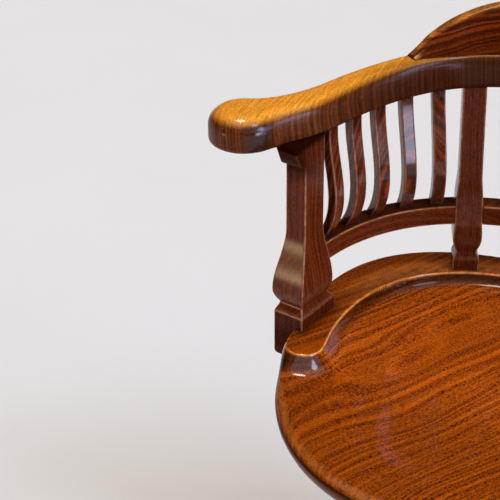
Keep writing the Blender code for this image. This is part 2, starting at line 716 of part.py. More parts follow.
def pin_shape(radius, half_length, steps=16):
    """Cylinder along X about the tilt axis."""
    bm = lathe([(radius, -half_length), (radius, half_length)], steps)
    bmesh.ops.rotate(bm, verts=bm.verts, matrix=Matrix.Rotation(math.pi / 2, 3, "Y"))
    return bm


def tilt_pin():
    """Pivot pin through both ears, with a head outside each."""
    shank = CRADLE_WIDTH / 2 + EAR_THICKNESS + 2 * GAP
    head = PIN_RADIUS * 1.45
    ends = shank + PIN_RADIUS * 0.6
    half = [(PIN_RADIUS, shank), (head, shank), (head, ends)]
    bm = lathe([(r, -z) for r, z in half[::-1]] + half, 16)
    bmesh.ops.rotate(bm, verts=bm.verts, matrix=Matrix.Rotation(math.pi / 2, 3, "Y"))
    node("tilt_pin", bm, STEEL, TILT)


def cradle_outline():
    """Side of the cradle about the tilt axis: plate, front stop and the round bearing for the pin."""
    bearing = EAR_WIDTH / 2
    low, top = PLATE_TOP - CRADLE_PLATE - PIVOT.z, PLATE_TOP - PIVOT.z
    front = -STOP_AHEAD
    back = SPRING_BEHIND + SPRING_RADIUS * 1.6 - PIVOT.y
    stop = IRON_UNDER - GAP - PIVOT.z
    outline = [(front, low), (back, low), (back, top), (bearing, top)]
    for i in range(13):
        angle = math.pi * i / 12
        outline.append((bearing * math.cos(angle), bearing * math.sin(angle)))
    outline += [(-bearing, top), (front + CRADLE_PLATE, top), (front + CRADLE_PLATE, stop), (front, stop)]
    return outline


def tilt_cradle():
    """Cast cradle on the spindle: a plate, a bearing block for the pin, spring studs and a front stop."""
    half = CRADLE_WIDTH / 2
    sides = [[Vector((x, y, z)) for y, z in cradle_outline()] for x in (-half, half)]
    cradle = node("tilt_cradle", loft(sides), CAST_IRON, CRADLE)
    plate_low = PLATE_TOP - CRADLE_PLATE
    fuse = CRADLE_PLATE / 2
    bore = SPINDLE_RADIUS + GAP
    boss = [(CRADLE_BOSS_RADIUS * 0.85, BOSS_BOTTOM), (CRADLE_BOSS_RADIUS, plate_low + fuse)]
    socket = [(bore, BOSS_BOTTOM - fuse), (bore, plate_low + GAP)]
    combine(cradle, moved(lathe(boss), -PIVOT), "UNION")
    combine(cradle, moved(lathe(socket), -PIVOT), "DIFFERENCE")
    combine(cradle, pin_shape(PIN_RADIUS + GAP, CRADLE_WIDTH), "DIFFERENCE")
    for side in (-1, 1):
        stud = [(SPRING_RADIUS - SPRING_WIRE * 2, PLATE_TOP - fuse), (SPRING_RADIUS * 0.6, PLATE_TOP + fuse)]
        place = Vector((side * SPRING_SPREAD, SPRING_BEHIND, 0))
        combine(cradle, moved(lathe(stud, 16), place - PIVOT), "UNION")


def tilt_spring(side):
    """Coil spring between the cradle and the seat iron; prints the least gap between its turns."""
    low = PLATE_TOP + SPRING_WIRE + GAP
    high = IRON_UNDER - SPRING_WIRE - GAP
    lead = 2 * SPRING_WIRE / SPRING_RADIUS
    sweep = math.tau * SPRING_TURNS
    steps = SPRING_TURNS * 10
    curve = bpy.data.curves.new("tilt_spring_" + SIDE_NAMES[side], "CURVE")
    curve.dimensions = "3D"
    curve.bevel_depth = SPRING_WIRE
    curve.bevel_resolution = 1
    curve.use_fill_caps = True
    points = []
    for i in range(steps + 1):
        angle = sweep * i / steps
        rise = (high - low) * i / steps
        spot = Vector((SPRING_RADIUS * math.cos(angle), SPRING_RADIUS * math.sin(angle), low + rise))
        points.append(spot)
    first = points[0] - Vector((0, SPRING_RADIUS * lead, 0))
    last = points[-1] + Vector((0, SPRING_RADIUS * lead, 0))
    points = [first] + points + [last]
    turn = steps // SPRING_TURNS
    apart = min((b - a).length for i, a in enumerate(points) for b in points[i + turn - 3 :])
    print(f"least gap in {curve.name}: {(apart - 2 * SPRING_WIRE) * 1000:.2f} mm")
    spline = curve.splines.new("POLY")
    spline.points.add(len(points) - 1)
    shift = Vector((side * SPRING_SPREAD, SPRING_BEHIND, 0)) - PIVOT
    for target, spot in zip(spline.points, points):
        target.co = (*(spot + shift), 1)
    curve.materials.append(STEEL)
    made = bpy.data.objects.new(curve.name, curve)
    made.parent = CRADLE
    bpy.context.collection.objects.link(made)


def spindle():
    """Plain screw spindle, from inside the hub up into the cradle's socket."""
    top = PLATE_TOP - CRADLE_PLATE
    bottom = HUB_TOP - SPINDLE_BELOW_HUB_TOP
    point = SPINDLE_RADIUS * 0.25
    profile = [(SPINDLE_RADIUS - point, bottom), (SPINDLE_RADIUS, bottom + point), (SPINDLE_RADIUS, top)]
    node("spindle", lathe(profile), STEEL, SWIVEL)


def handwheel_nut():
    """Nut with a scalloped hand rim; turning it on the spindle sets the height."""
    low = COLLAR_TOP + GAP
    bore = SPINDLE_RADIUS + GAP
    wheel = low + (NUT_HEIGHT - NUT_WHEEL_THICKNESS) / 2
    steps = NUT_SCALLOPS * 6
    loops = [
        circle(bore, low, steps),
        circle(NUT_RADIUS, low, steps),
        circle(NUT_RADIUS, wheel, steps),
        circle(NUT_WHEEL_RADIUS - NUT_SCALLOP, wheel, steps, NUT_SCALLOP, NUT_SCALLOPS),
        circle(NUT_WHEEL_RADIUS, wheel + NUT_WHEEL_THICKNESS / 2, steps, NUT_SCALLOP, NUT_SCALLOPS),
        circle(NUT_WHEEL_RADIUS - NUT_SCALLOP, wheel + NUT_WHEEL_THICKNESS, steps, NUT_SCALLOP, NUT_SCALLOPS),
        circle(NUT_RADIUS, wheel + NUT_WHEEL_THICKNESS, steps),
        circle(NUT_RADIUS * 0.85, NUT_TOP, steps),
        circle(bore, NUT_TOP, steps),
    ]
    node("handwheel_nut", loft(loops, ring=True), CAST_IRON, SWIVEL)


def swivel_collar():
    low, bore = FLANGE_TOP + GAP, SPINDLE_RADIUS + GAP
    profile = [(bore, low), (COLLAR_RADIUS, low), (COLLAR_RADIUS, COLLAR_TOP), (bore, COLLAR_TOP)]
    node("swivel_collar", lathe(profile, 32, ring=True), STEEL, SWIVEL)


def hub_sleeve():
    """Flanged sleeve let into the hub, the bearing that the spindle turns and slides in."""
    bore = SPINDLE_RADIUS + GAP
    seat, bottom = HUB_TOP + GAP, HUB_TOP - SLEEVE_DEPTH
    profile = [(bore, bottom), (SLEEVE_RADIUS, bottom), (SLEEVE_RADIUS, seat), (SLEEVE_FLANGE_RADIUS, seat)]
    profile += [(SLEEVE_FLANGE_RADIUS, FLANGE_TOP), (bore, FLANGE_TOP)]
    node("hub_sleeve", lathe(profile, 32, ring=True), CAST_IRON)


def hub():
    """Square oak hub with chamfered corners and a moulded cap, bored for the sleeve and spindle."""
    legs_top = HUB_TOP - HUB_CAP
    step = HUB_CHAMFER / 2
    spots = [
        (HUB_WIDTH - step, HUB_BOTTOM),
        (HUB_WIDTH, HUB_BOTTOM + step / 2),
        (HUB_WIDTH, legs_top),
        (HUB_WIDTH - step, legs_top + step / 2),
        (HUB_WIDTH - step, legs_top + HUB_CAP * 0.4),
        (HUB_WIDTH + step / 2, legs_top + HUB_CAP * 0.55),
        (HUB_WIDTH + step / 2, legs_top + HUB_CAP * 0.8),
        (HUB_WIDTH - step, HUB_TOP),
    ]
    middle = Vector((0, 0))
    loops = [square_loop(middle, LEG_TURN, width, width, z, HUB_CHAMFER) for width, z in spots]
    made = node("hub", loft(loops), BASE_OAK)
    bore = SLEEVE_RADIUS + GAP
    ledge = HUB_TOP - SLEEVE_DEPTH - GAP
    narrow = SPINDLE_RADIUS + 4 * GAP
    foot = HUB_TOP - SPINDLE_BELOW_HUB_TOP - SPINDLE_DROP
    profile = [(narrow, foot), (narrow, ledge), (bore, ledge), (bore, HUB_TOP + bore)]
    combine(made, lathe(profile, 32), "DIFFERENCE")


def leg_angle(i):
    return LEG_TURN + math.tau * i / LEG_COUNT


def caster_place(i):
    return Vector((math.cos(leg_angle(i)), math.sin(leg_angle(i)), 0)) * CASTER_SEAT


def leg(i):
    """Swept leg sawn from a plank, with a flat foot that is bored for the caster's socket."""
    root_top = HUB_TOP - HUB_CAP - 2 * GAP
    root = HUB_WIDTH / 2 + GAP
    root_low = root_top - LEG_ROOT
    heel = LEG_TIP - LEG_FOOT
    toe_top = CASTER_HEIGHT + LEG_FOOT_HEIGHT
    span = LEG_TIP - root
    upper = bezier(
        Vector((LEG_TIP - LEG_TOE_ROUND, toe_top)),
        Vector((LEG_TIP - span * 0.35, toe_top + LEG_FOOT_HEIGHT * 0.4)),
        Vector((root + span * 0.42, root_top)),
        Vector((root, root_top)),
        10,
    )
    lower = bezier(
        Vector((root, root_low)),
        Vector((root + span * 0.30, root_low + LEG_FOOT_HEIGHT * 0.5)),
        Vector((heel - span * 0.16, CASTER_HEIGHT + LEG_FOOT_HEIGHT * 0.5)),
        Vector((heel, CASTER_HEIGHT)),
        8,
    )
    toe = [
        Vector((LEG_TIP - LEG_TOE_ROUND / 2, CASTER_HEIGHT)),
        Vector((LEG_TIP, CASTER_HEIGHT + LEG_FOOT_HEIGHT * 0.3)),
        Vector((LEG_TIP, CASTER_HEIGHT + LEG_FOOT_HEIGHT * 0.75)),
    ]
    outline = lower + toe + upper
    square = 1 - LEG_ROUND * 2 / LEG_WIDTH
    spots = [(LEG_ROUND, -1), (0, -square), (0, square), (LEG_ROUND, 1)]
    loops = []
    for amount, share in spots:
        flat = [0 if abs(p.y - CASTER_HEIGHT) < 1e-6 or p.x < root + 1e-6 else amount for p in outline]
        shifted = inset(outline, flat)
        loops.append([Vector((p.x, share * LEG_WIDTH / 2, p.y)) for p in shifted])
    made = node(f"leg_{i + 1}", loft(loops), BASE_OAK, turn=leg_angle(i))
    bore = SOCKET_RADIUS + GAP
    hole = lathe([(bore, CASTER_HEIGHT - GAP), (bore, CASTER_HEIGHT + STEM_LENGTH)], 16)
    combine(made, moved(hole, Vector((CASTER_SEAT, 0, 0))), "DIFFERENCE")


def caster_socket(i):
    """Flanged socket pushed up into the leg's foot."""
    low = CASTER_HEIGHT - GAP - SOCKET_FLANGE
    bore = STEM_RADIUS + GAP
    top = CASTER_HEIGHT + STEM_LENGTH - GAP
    profile = [(bore, low), (SOCKET_FLANGE_RADIUS, low), (SOCKET_FLANGE_RADIUS, CASTER_HEIGHT - GAP)]
    profile += [(SOCKET_RADIUS, CASTER_HEIGHT - GAP), (SOCKET_RADIUS, top), (bore, top)]
    made = node(f"caster_socket_{i + 1}", lathe(profile, 16, ring=True), BRASS)
    made.location = caster_place(i)


def caster(i):
    """Horn with its stem, axle and wheel, on a swivel axis under the foot and trailing behind it."""
    facing = leg_angle(i) + CASTER_TURNS[i % len(CASTER_TURNS)]
    swivel = empty(f"caster_{i + 1}_swivel", caster_place(i), facing)
    roll = empty(f"caster_{i + 1}_roll", (0, CASTER_TRAIL, WHEEL_RADIUS), parent=swivel)
    cap_top = CASTER_HEIGHT - SOCKET_FLANGE - 2 * GAP
    cap_low = cap_top - HORN_CAP
    stem_top = CASTER_HEIGHT + STEM_LENGTH * 0.85
    profile = [(HORN_CAP_RADIUS, cap_low), (HORN_CAP_RADIUS, cap_top)]
    profile += [(STEM_RADIUS, cap_top), (STEM_RADIUS, stem_top)]
    horn = node(f"caster_horn_{i + 1}", lathe(profile, 16), BRASS, swivel)
    inside = WHEEL_WIDTH / 2 + HORN_SIDE_GAP
    across = inside + HORN_CHEEK
    clear = WHEEL_RADIUS * 2 + HORN_SIDE_GAP
    bridge = box((-across, -HORN_CHEEK_WIDTH / 2, clear), (across, CASTER_TRAIL, cap_low + HORN_CAP / 2))
    combine(horn, bridge, "UNION")
    for side in (-1, 1):
        loops = []
        for x in (inside, across):
            end = HORN_CHEEK_WIDTH * 0.45
            top = clear + HORN_CHEEK
            loop = [Vector((side * x, CASTER_TRAIL, top)), Vector((side * x, -HORN_CHEEK_WIDTH / 2, top))]
            for k in range(7):
                angle = math.pi * (0.85 + 1.1 * k / 6)
                y, z = CASTER_TRAIL + end * math.cos(angle), WHEEL_RADIUS + end * math.sin(angle)
                loop.append(Vector((side * x, y, z)))
            loops.append(loop)
        combine(horn, loft(loops), "UNION")
    hole = axle_shape(WHEEL_BORE, across * 1.5)
    axle = axle_shape(WHEEL_BORE - GAP, across + HORN_SIDE_GAP)
    place = Vector((0, CASTER_TRAIL, WHEEL_RADIUS))
    combine(horn, moved(hole, place), "DIFFERENCE")
    node(f"caster_axle_{i + 1}", moved(axle, place), STEEL, swivel)
    half = WHEEL_WIDTH / 2
    bore = WHEEL_BORE
    profile = [(bore, -half), (WHEEL_RADIUS * 0.45, -half), (WHEEL_RADIUS * 0.55, -half * 0.75)]
    profile += [(WHEEL_RADIUS * 0.88, -half * 0.75), (WHEEL_RADIUS, -half * 0.4)]
    profile += [(r, -z) for r, z in reversed(profile)]
    wheel = lathe(profile, 28, ring=True)
    bmesh.ops.rotate(wheel, verts=wheel.verts, matrix=Matrix.Rotation(math.pi / 2, 3, "Y"))
    node(f"caster_wheel_{i + 1}", wheel, CASTER_WOOD, roll)


def axle_shape(radius, half):
    bm = lathe([(radius, -half), (radius, half)], 12)
    bmesh.ops.rotate(bm, verts=bm.verts, matrix=Matrix.Rotation(math.pi / 2, 3, "Y"))
    return bm


# Joint axes: the swivel in the hub, and the tilt pin that the seat hangs on.
SWIVEL = empty("swivel_axis", (0, 0, 0))
CRADLE = empty("cradle_place", PIVOT, parent=SWIVEL)
TILT = empty("tilt_axis", PIVOT, parent=SWIVEL)

hub()
hub_sleeve()
for number in range(LEG_COUNT):
    leg(number)
    caster_socket(number)
    caster(number)
swivel_collar()
handwheel_nut()
spindle()
tilt_cradle()
tilt_pin()
seat_iron()
node("seat_board", seat_board(), SEAT_OAK, TILT, PIVOT)
back_rail()
slats()
crest_rail()
for hand in (-1, 1):
    tilt_spring(hand)
    front_post(hand)
    rear_post(hand)
    side_rail(hand)
    arm(hand)
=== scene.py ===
"""Looks of the oak swivel desk chair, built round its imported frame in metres, +Z up, front towards -Y."""
import math

import bmesh
import bpy
import numpy as np
from mathutils import Matrix, Vector


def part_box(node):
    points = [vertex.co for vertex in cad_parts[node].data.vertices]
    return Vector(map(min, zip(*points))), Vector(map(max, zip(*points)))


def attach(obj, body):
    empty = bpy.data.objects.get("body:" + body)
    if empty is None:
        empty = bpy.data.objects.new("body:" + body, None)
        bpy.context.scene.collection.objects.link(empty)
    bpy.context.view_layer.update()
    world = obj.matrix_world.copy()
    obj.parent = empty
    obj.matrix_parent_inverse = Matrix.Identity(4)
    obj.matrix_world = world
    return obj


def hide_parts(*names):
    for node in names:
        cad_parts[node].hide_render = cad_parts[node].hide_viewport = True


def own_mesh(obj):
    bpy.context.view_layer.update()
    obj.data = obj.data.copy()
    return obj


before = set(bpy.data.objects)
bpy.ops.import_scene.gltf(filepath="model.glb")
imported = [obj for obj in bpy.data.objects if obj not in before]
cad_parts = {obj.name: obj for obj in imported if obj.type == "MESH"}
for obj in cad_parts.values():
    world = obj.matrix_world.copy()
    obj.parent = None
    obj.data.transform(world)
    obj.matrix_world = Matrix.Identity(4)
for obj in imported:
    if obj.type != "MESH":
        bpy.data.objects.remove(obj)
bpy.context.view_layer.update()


# Hub: a square block of oak set with a face to each leg. Its corners are chamfered, its top is worked into
# a cove and a rounded cap, and it is bored from above for the iron sleeve and the spindle.

def linear(code):
    """An sRGB hex colour as the linear one that shaders take."""
    parts = [int(code[i:i + 2], 16) / 255 for i in (1, 3, 5)]
    return (*[c / 12.92 if c <= 0.04045 else ((c + 0.055) / 1.055) ** 2.4 for c in parts], 1)


def add(tree, kind, sockets, **settings):
    """A shader node with its settings; each socket takes a value or another node's output."""
    made = tree.nodes.new("ShaderNode" + kind)
    for name, value in settings.items():
        setattr(made, name, value)
    for key, value in sockets.items():
        if isinstance(value, bpy.types.NodeSocket):
            tree.links.new(value, made.inputs[key])
        else:
            made.inputs[key].default_value = value
    return made


def oak(name, pale, deep, pore, lie, pith, ring_mm, band=0.6, sway_mm=10, pore_mm=(6, 1.1), pores=0.75,
        side=None, worn="#B9764A", dirt_and_shade_colour="#220902", film=(1.25, 0.15), glow=0.06):
    """Fumed and varnished oak: growth rings, open pores as short dark dashes, and arrises rubbed pale.

    The eye gets bands that run with the board, a speckle along them, and a clear gleam over a deep colour.
    lie turns the board's grain to X, and pith is where the heart of the log ran beside that X.
    side is a darker tint for faces that look sideways: painted shade, together with the duller, less rubbed
    varnish there.
    film is the varnish's index and roughness, and glow the sheen of the wood under it.
    """
    made = bpy.data.materials.new(name)
    made.use_nodes = True
    tree = made.node_tree
    place = add(tree, "TexCoord", {})
    grain = add(tree, "Mapping", {"Vector": place.outputs["Object"], "Rotation": lie}).outputs[0]
    # rings: distance from the pith, swayed by a slow noise 90 mm across, so that boards show arched bands
    slow = add(tree, "Mapping", {"Vector": grain, "Scale": (1000 / 320, 1000 / 90, 1000 / 90)}).outputs[0]
    sway = add(tree, "TexNoise", {"Vector": slow, "Scale": 1.0, "Detail": 2.0}).outputs["Color"]
    bent = add(tree, "VectorMath", {0: sway, 1: (0, sway_mm / 400, sway_mm / 400), 2: grain},
               operation="MULTIPLY_ADD").outputs[0]
    across = add(tree, "Mapping", {"Vector": bent, "Location": (0, -pith[0], -pith[1]),
                                   "Scale": (0, 1, 1)}).outputs[0]
    radius = add(tree, "VectorMath", {0: across}, operation="LENGTH").outputs["Value"]
    year = add(tree, "Math", {0: radius, 1: 1000 / ring_mm}, operation="MULTIPLY").outputs[0]
    rings = add(tree, "TexNoise", {"W": year, "Scale": 1.0, "Detail": 1.0, "Roughness": 0.5},
                noise_dimensions="1D").outputs["Fac"]
    light = add(tree, "MapRange", {0: rings, 1: 0.36, 2: 0.70, 3: 0.5 - 0.5 * band, 4: 0.5 + 0.5 * band},
                interpolation_type="SMOOTHSTEP").outputs[0]
    # pores: dashes drawn a little coarse so that they show, thickest in the early wood of each ring
    fine = add(tree, "Mapping", {"Vector": grain, "Scale": (1000 / pore_mm[0], 1000 / pore_mm[1],
                                                            1000 / pore_mm[1])}).outputs[0]
    specks = add(tree, "TexNoise", {"Vector": fine, "Scale": 1.0, "Detail": 1.0}).outputs["Fac"]
    dash = add(tree, "MapRange", {0: specks, 1: 0.43, 2: 0.60, 3: 0.0, 4: pores}).outputs[0]
    early = add(tree, "MapRange", {0: rings, 1: 0.35, 2: 0.65, 3: 1.0, 4: 0.55}).outputs[0]
    dark = add(tree, "Math", {0: dash, 1: early}, operation="MULTIPLY").outputs[0]
    # fibre: streaks 40 mm long and 2.4 mm wide, darker and lighter by a quarter
    long = add(tree, "Mapping", {"Vector": grain, "Scale": (1000 / 40, 1000 / 2.4, 1000 / 2.4)}).outputs[0]
    fibre = add(tree, "TexNoise", {"Vector": long, "Scale": 1.0, "Detail": 3.0}).outputs["Fac"]
    streak = add(tree, "MapRange", {0: fibre, 1: 0.3, 2: 0.7, 3: 0.74, 4: 1.18}).outputs[0]
    colour = add(tree, "Mix", {0: light, 6: linear(deep), 7: linear(pale)}, data_type="RGBA").outputs[2]
    colour = add(tree, "Mix", {0: dark, 6: colour, 7: linear(pore)}, data_type="RGBA").outputs[2]
    colour = add(tree, "VectorMath", {0: colour, "Scale": streak}, operation="SCALE").outputs[0]
    # one attribute darkens the colour towards a dark tone and dulls the varnish, for dirt in some places and
    # painted shade in others; another only darkens it, for a stain by the thumb and painted shade on the
    # seat
    grime_and_shade = add(tree, "Attribute", {}, attribute_name="grime_and_shade").outputs["Fac"]
    stain_and_shade = add(tree, "Attribute", {}, attribute_name="stain_and_shade").outputs["Fac"]
    dirt_and_shade = add(tree, "Math", {0: grime_and_shade, 1: stain_and_shade}, operation="ADD", use_clamp=True).outputs[0]
    shine = add(tree, "MapRange", {0: grime_and_shade, 3: 1.0, 4: 0.0}).outputs[0]
    if side:
        # sides: darker by painted shade and by their less rubbed varnish, with the rings' ends as lines, and
        # dull but for the top and what hands have polished
        facing = add(tree, "SeparateXYZ", {0: place.outputs["Normal"]}).outputs["Z"]
        top = add(tree, "MapRange", {0: facing, 1: 0.50, 2: 1.0},
                  interpolation_type="SMOOTHSTEP").outputs[0]
        shaded = add(tree, "VectorMath", {0: colour, 1: linear(side)[:3]}, operation="MULTIPLY").outputs[0]
        lines = add(tree, "MapRange", {0: rings, 1: 0.40, 2: 0.62, 3: 0.65, 4: 1.30}).outputs[0]
        shaded = add(tree, "VectorMath", {0: shaded, "Scale": lines}, operation="SCALE").outputs[0]
        colour = add(tree, "Mix", {0: top, 6: shaded, 7: colour}, data_type="RGBA").outputs[2]
        shine = add(tree, "MapRange", {0: facing, 1: 0.4, 2: 0.95, 3: 0.2}).outputs[0]
        shine = add(tree, "Math", {0: shine, 1: stain_and_shade}, operation="MAXIMUM").outputs[0]
    # arrises: varnish and stain rubbed through in broken lengths of about 9 mm; the same pale mix also
    # carries painted light on the seat's rim
    patch = add(tree, "TexNoise", {"Vector": grain, "Scale": 1000 / 9, "Detail": 2.0}).outputs["Fac"]
    broken = add(tree, "MapRange", {0: patch, 1: 0.35, 2: 0.65, 3: 0.3, 4: 0.9}).outputs[0]
    edge = add(tree, "Attribute", {}, attribute_name="worn").outputs["Fac"]
    wear_and_light_mask = add(tree, "Math", {0: edge, 1: broken}, operation="MULTIPLY").outputs[0]
    colour = add(tree, "Mix", {0: wear_and_light_mask, 6: colour, 7: linear(worn)}, data_type="RGBA").outputs[2]
    colour = add(tree, "Mix", {0: dirt_and_shade, 6: colour, 7: linear(dirt_and_shade_colour)}, data_type="RGBA").outputs[2]
    # pores and streaks are felt under the varnish, whose own skin flows in ripples 14 mm across
    relief = add(tree, "Math", {0: streak, 1: dark}, operation="SUBTRACT").outputs[0]
    bump = add(tree, "Bump", {"Height": relief, "Strength": 0.25, "Distance": 0.0002}).outputs[0]
    flow = add(tree, "TexNoise", {"Vector": place.outputs["Object"], "Scale": 1000 / 14}).outputs["Fac"]
    skin = add(tree, "Bump", {"Height": flow, "Strength": 0.02, "Distance": 0.0005}).outputs[0]
    shader = tree.nodes["Principled BSDF"]
    for key, value in {"Base Color": colour, "Normal": bump, "Coat Normal": skin,
                       "Coat Weight": shine}.items():
        tree.links.new(value, shader.inputs[key])
    for key, value in {"Roughness": 0.32, "Specular IOR Level": glow, "Specular Tint": linear("#FFB070"),
                       "Coat IOR": film[0], "Coat Roughness": film[1]}.items():
        shader.inputs[key].default_value = value
    return made


def squared(width, depth, corner, arc=4, margin=0.003):
    """Points round a rectangle with rounded corners, and one on each flat a margin from its corners."""
    points = []
    for k, (sx, sy) in enumerate(((1, -1), (1, 1), (-1, 1), (-1, -1))):
        middle = Vector((sx * (width / 2 - corner), sy * (depth / 2 - corner)))
        for i in range(arc + 1):
            angle = math.pi / 2 * (k - 1 + i / arc)
            points.append(middle + Vector((math.cos(angle), math.sin(angle))) * corner)
        run = (depth if k % 2 == 0 else width) / 2 - corner
        step = Vector((-math.sin(angle), math.cos(angle)))
        points += [points[-1] + step * min(margin, run), points[-1] + step * (2 * run - min(margin, run))]
    return points


def wrap(bm, place, around, along):
    """A grid rolled into a closed tube; place(i, j) is its point at step i round it and j along it."""
    grid = bmesh.ops.create_grid(bm, x_segments=around, y_segments=along, size=1)["verts"]
    for v in grid:
        i, j = round((v.co.x + 1) / 2 * around), round((v.co.y + 1) / 2 * along)
        v.co = place(i % around, j)
    bmesh.ops.remove_doubles(bm, verts=grid, dist=1e-6)
    bmesh.ops.holes_fill(bm, edges=[e for e in bm.edges if e.is_boundary])
    bmesh.ops.recalc_face_normals(bm, faces=bm.faces)


def piece(name, bm, finish, body, nodes, rub=None, crease=38):
    """A named piece on a body in place of CAD nodes.

    Rounded arrises that turn by rub radians at a step are fully worn; square ones are joints, and aren't.
    """
    if rub:
        layer = bm.verts.layers.float.new("worn")
        for v in bm.verts:
            turns = [e.calc_face_angle_signed(0) for e in v.link_edges]
            v[layer] = min(max([0] + [turn for turn in turns if turn < 1.2]) / rub, 1)
    for face in bm.faces:
        face.smooth = True
    mesh = bpy.data.meshes.new(name)
    bm.to_mesh(mesh)
    bm.free()
    mesh.set_sharp_from_angle(angle=math.radians(crease))
    mesh.materials.append(finish)
    made = bpy.data.objects.new(name, mesh)
    bpy.context.scene.collection.objects.link(made)
    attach(made, body)
    if nodes:
        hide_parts(*nodes)
    return made


# oak that is seldom rubbed: brown and quiet, with a dull shine and pale arrises
UPRIGHT = (0, math.pi / 2, 0)
base_oak = oak("base_oak_varnished", "#7A3E18", "#4A2110", "#2A1008", UPRIGHT, (0.02, 0.11), 6)
# width, corner radius and height of each ring, up the block, over its cap and down both bores
hub_levels = [(0, 0, 0.108), (0.084, 0.014, 0.108), (0.096, 0.016, 0.110), (0.100, 0.016, 0.114)]
hub_levels += [(0.100, 0.016, 0.120), (0.100, 0.016, 0.229), (0.098, 0.016, 0.233), (0.093, 0.016, 0.2355)]
hub_levels += [(0.091, 0.016, 0.239), (0.092, 0.016, 0.243), (0.096, 0.016, 0.2465), (0.102, 0.017, 0.249)]
hub_levels += [(0.106, 0.018, 0.252), (0.106, 0.018, 0.2545), (0.103, 0.018, 0.258), (0.097, 0.018, 0.261)]
hub_levels += [(0.092, 0.018, 0.262), (0.0426, 0.0213, 0.262), (0.0426, 0.0213, 0.1917)]
hub_levels += [(0.0274, 0.0137, 0.1917), (0.0274, 0.0137, 0.130), (0, 0, 0.130)]
hub_rings = [[Matrix.Rotation(math.pi / 4, 2) @ p for p in squared(w, w, c)] for w, c, z in hub_levels]
bm = bmesh.new()
wrap(bm, lambda i, j: (*hub_rings[j][i], hub_levels[j][2]), len(hub_rings[0]), len(hub_levels) - 1)
piece("hub_block", bm, base_oak, "base", ["hub"], rub=0.9)


# Legs: four brackets sawn to a sweep from oak plank, with eased edges, dowelled to the hub's faces. Each
# ends in a flat toe that carries a caster.

def bezier(a, b, c, d, steps):
    """Points on a cubic curve between a and d."""
    return [a * (1 - t)**3 + b * 3 * t * (1 - t)**2 + c * 3 * t * t * (1 - t) + d * t**3
            for t in (i / steps for i in range(steps + 1))]


def inset(outline, amounts, closed=False):
    """An outline walked with its inside on the left, moved inwards by an amount for each point."""
    count = len(outline)
    moved = []
    for i, point in enumerate(outline):
        after = outline[(i + 1) % count] if closed else outline[min(i + 1, count - 1)]
        before = outline[i - 1] if closed else outline[max(i - 1, 0)]
        along = (after - before).normalized()
        moved.append(point + Vector((-along.y, along.x)) * amounts[i])
    return moved


def rolled(radius, low, high, steps):
    """Steps (inset, rise) of a quarter round between two heights; low above high rolls under instead."""
    turn = [math.pi / 2 * i / steps for i in range(steps + 1)]
    rounding = [(radius * (1 - math.cos(a)), low + (high - low) * math.sin(a)) for a in turn]
    return rounding if high > low else rounding[::-1]


root_x, sole_x, toe_x = 0.0503, 0.232, 0.278
foot_z, root_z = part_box("leg_1")[0].z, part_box("leg_1")[1].z
span, root_deep = toe_x - root_x, 0.100
toe_top = Vector((toe_x - 0.006, foot_z + 0.030))
lower = bezier(Vector((root_x, root_z - root_deep)), Vector((root_x + span * 0.30, root_z - 0.085)),
               Vector((sole_x - span * 0.16, foot_z + 0.015)), Vector((sole_x, foot_z)), 24)
tip = bezier(Vector((toe_x - 0.003, foot_z)), Vector((toe_x + 0.001, foot_z + 0.004)),
             Vector((toe_x + 0.001, foot_z + 0.026)), toe_top, 8)
upper = bezier(toe_top, Vector((toe_x - span * 0.35, foot_z + 0.042)),
               Vector((root_x + span * 0.42, root_z)), Vector((root_x, root_z)), 24)
leg_side = lower + tip + upper[1:]
# the sole and the face on the hub keep square edges
leg_roll = [0 if p.y < foot_z + 1e-5 or p.x < root_x + 1e-5 else 1 for p in leg_side]
leg_width, leg_edge = 0.042, 0.004
leg_steps = [(a, h - leg_width / 2) for a, h in rolled(leg_edge, leg_edge, 0, 4)]
leg_steps += [(a, h + leg_width / 2) for a, h in rolled(leg_edge, -leg_edge, 0, 4)]
leg_rings = [inset(leg_side, [a * share for share in leg_roll], closed=True) for a, h in leg_steps]
for number in range(4):
    turn = Matrix.Rotation(math.pi / 4 + math.pi / 2 * number, 3, "Z")
    bm = bmesh.new()
    wrap(bm, lambda i, j: turn @ Vector((leg_rings[j][i].x, leg_steps[j][1], leg_rings[j][i].y)),
         len(leg_side), len(leg_steps) - 1)
    # each leg's grain runs down its own slope, so each has its own cut of the same oak
    grain = (0, math.radians(-30), -math.pi / 4 - math.pi / 2 * number)
    leg_oak = oak(f"leg_oak_{number + 1}", "#7A3E18", "#4A2110", "#2A1008", grain, (0.06, -0.05), 5)
    piece(f"swept_leg_{number + 1}", bm, leg_oak, "base", [f"leg_{number + 1}"], rub=0.9)


# Casters: brass horns on steel axles with turned hardwood wheels, their stems pushed into brass sockets let
# into the toes. The castings are taken from the frame with their edges eased.

def metal(name, colour, shadow, roughness, grit_mm, dent, metallic=1.0):
    """Worked metal: a tint that varies over 30 mm, grit in its roughness, and a fine uneven skin."""
    made = bpy.data.materials.new(name)
    made.use_nodes = True
    tree = made.node_tree
    place = add(tree, "TexCoord", {}).outputs["Object"]
    cloud = add(tree, "TexNoise", {"Vector": place, "Scale": 1000 / 30, "Detail": 4.0}).outputs["Fac"]
    tarnish = add(tree, "MapRange", {0: cloud, 1: 0.35, 2: 0.65}).outputs[0]
    tint = add(tree, "Mix", {0: tarnish, 6: linear(shadow), 7: linear(colour)}, data_type="RGBA").outputs[2]
    grit = add(tree, "TexNoise", {"Vector": place, "Scale": 1000 / grit_mm, "Detail": 3.0}).outputs["Fac"]
    rough = add(tree, "MapRange", {0: grit, 1: 0.3, 2: 0.7, 3: roughness * 0.75,
                                   4: roughness * 1.3}).outputs[0]
    bump = add(tree, "Bump", {"Height": grit, "Strength": dent, "Distance": 0.0004}).outputs[0]
    shader = tree.nodes["Principled BSDF"]
    for key, value in (("Base Color", tint), ("Roughness", rough), ("Normal", bump)):
        tree.links.new(value, shader.inputs[key])
    shader.inputs["Metallic"].default_value = metallic
    return made


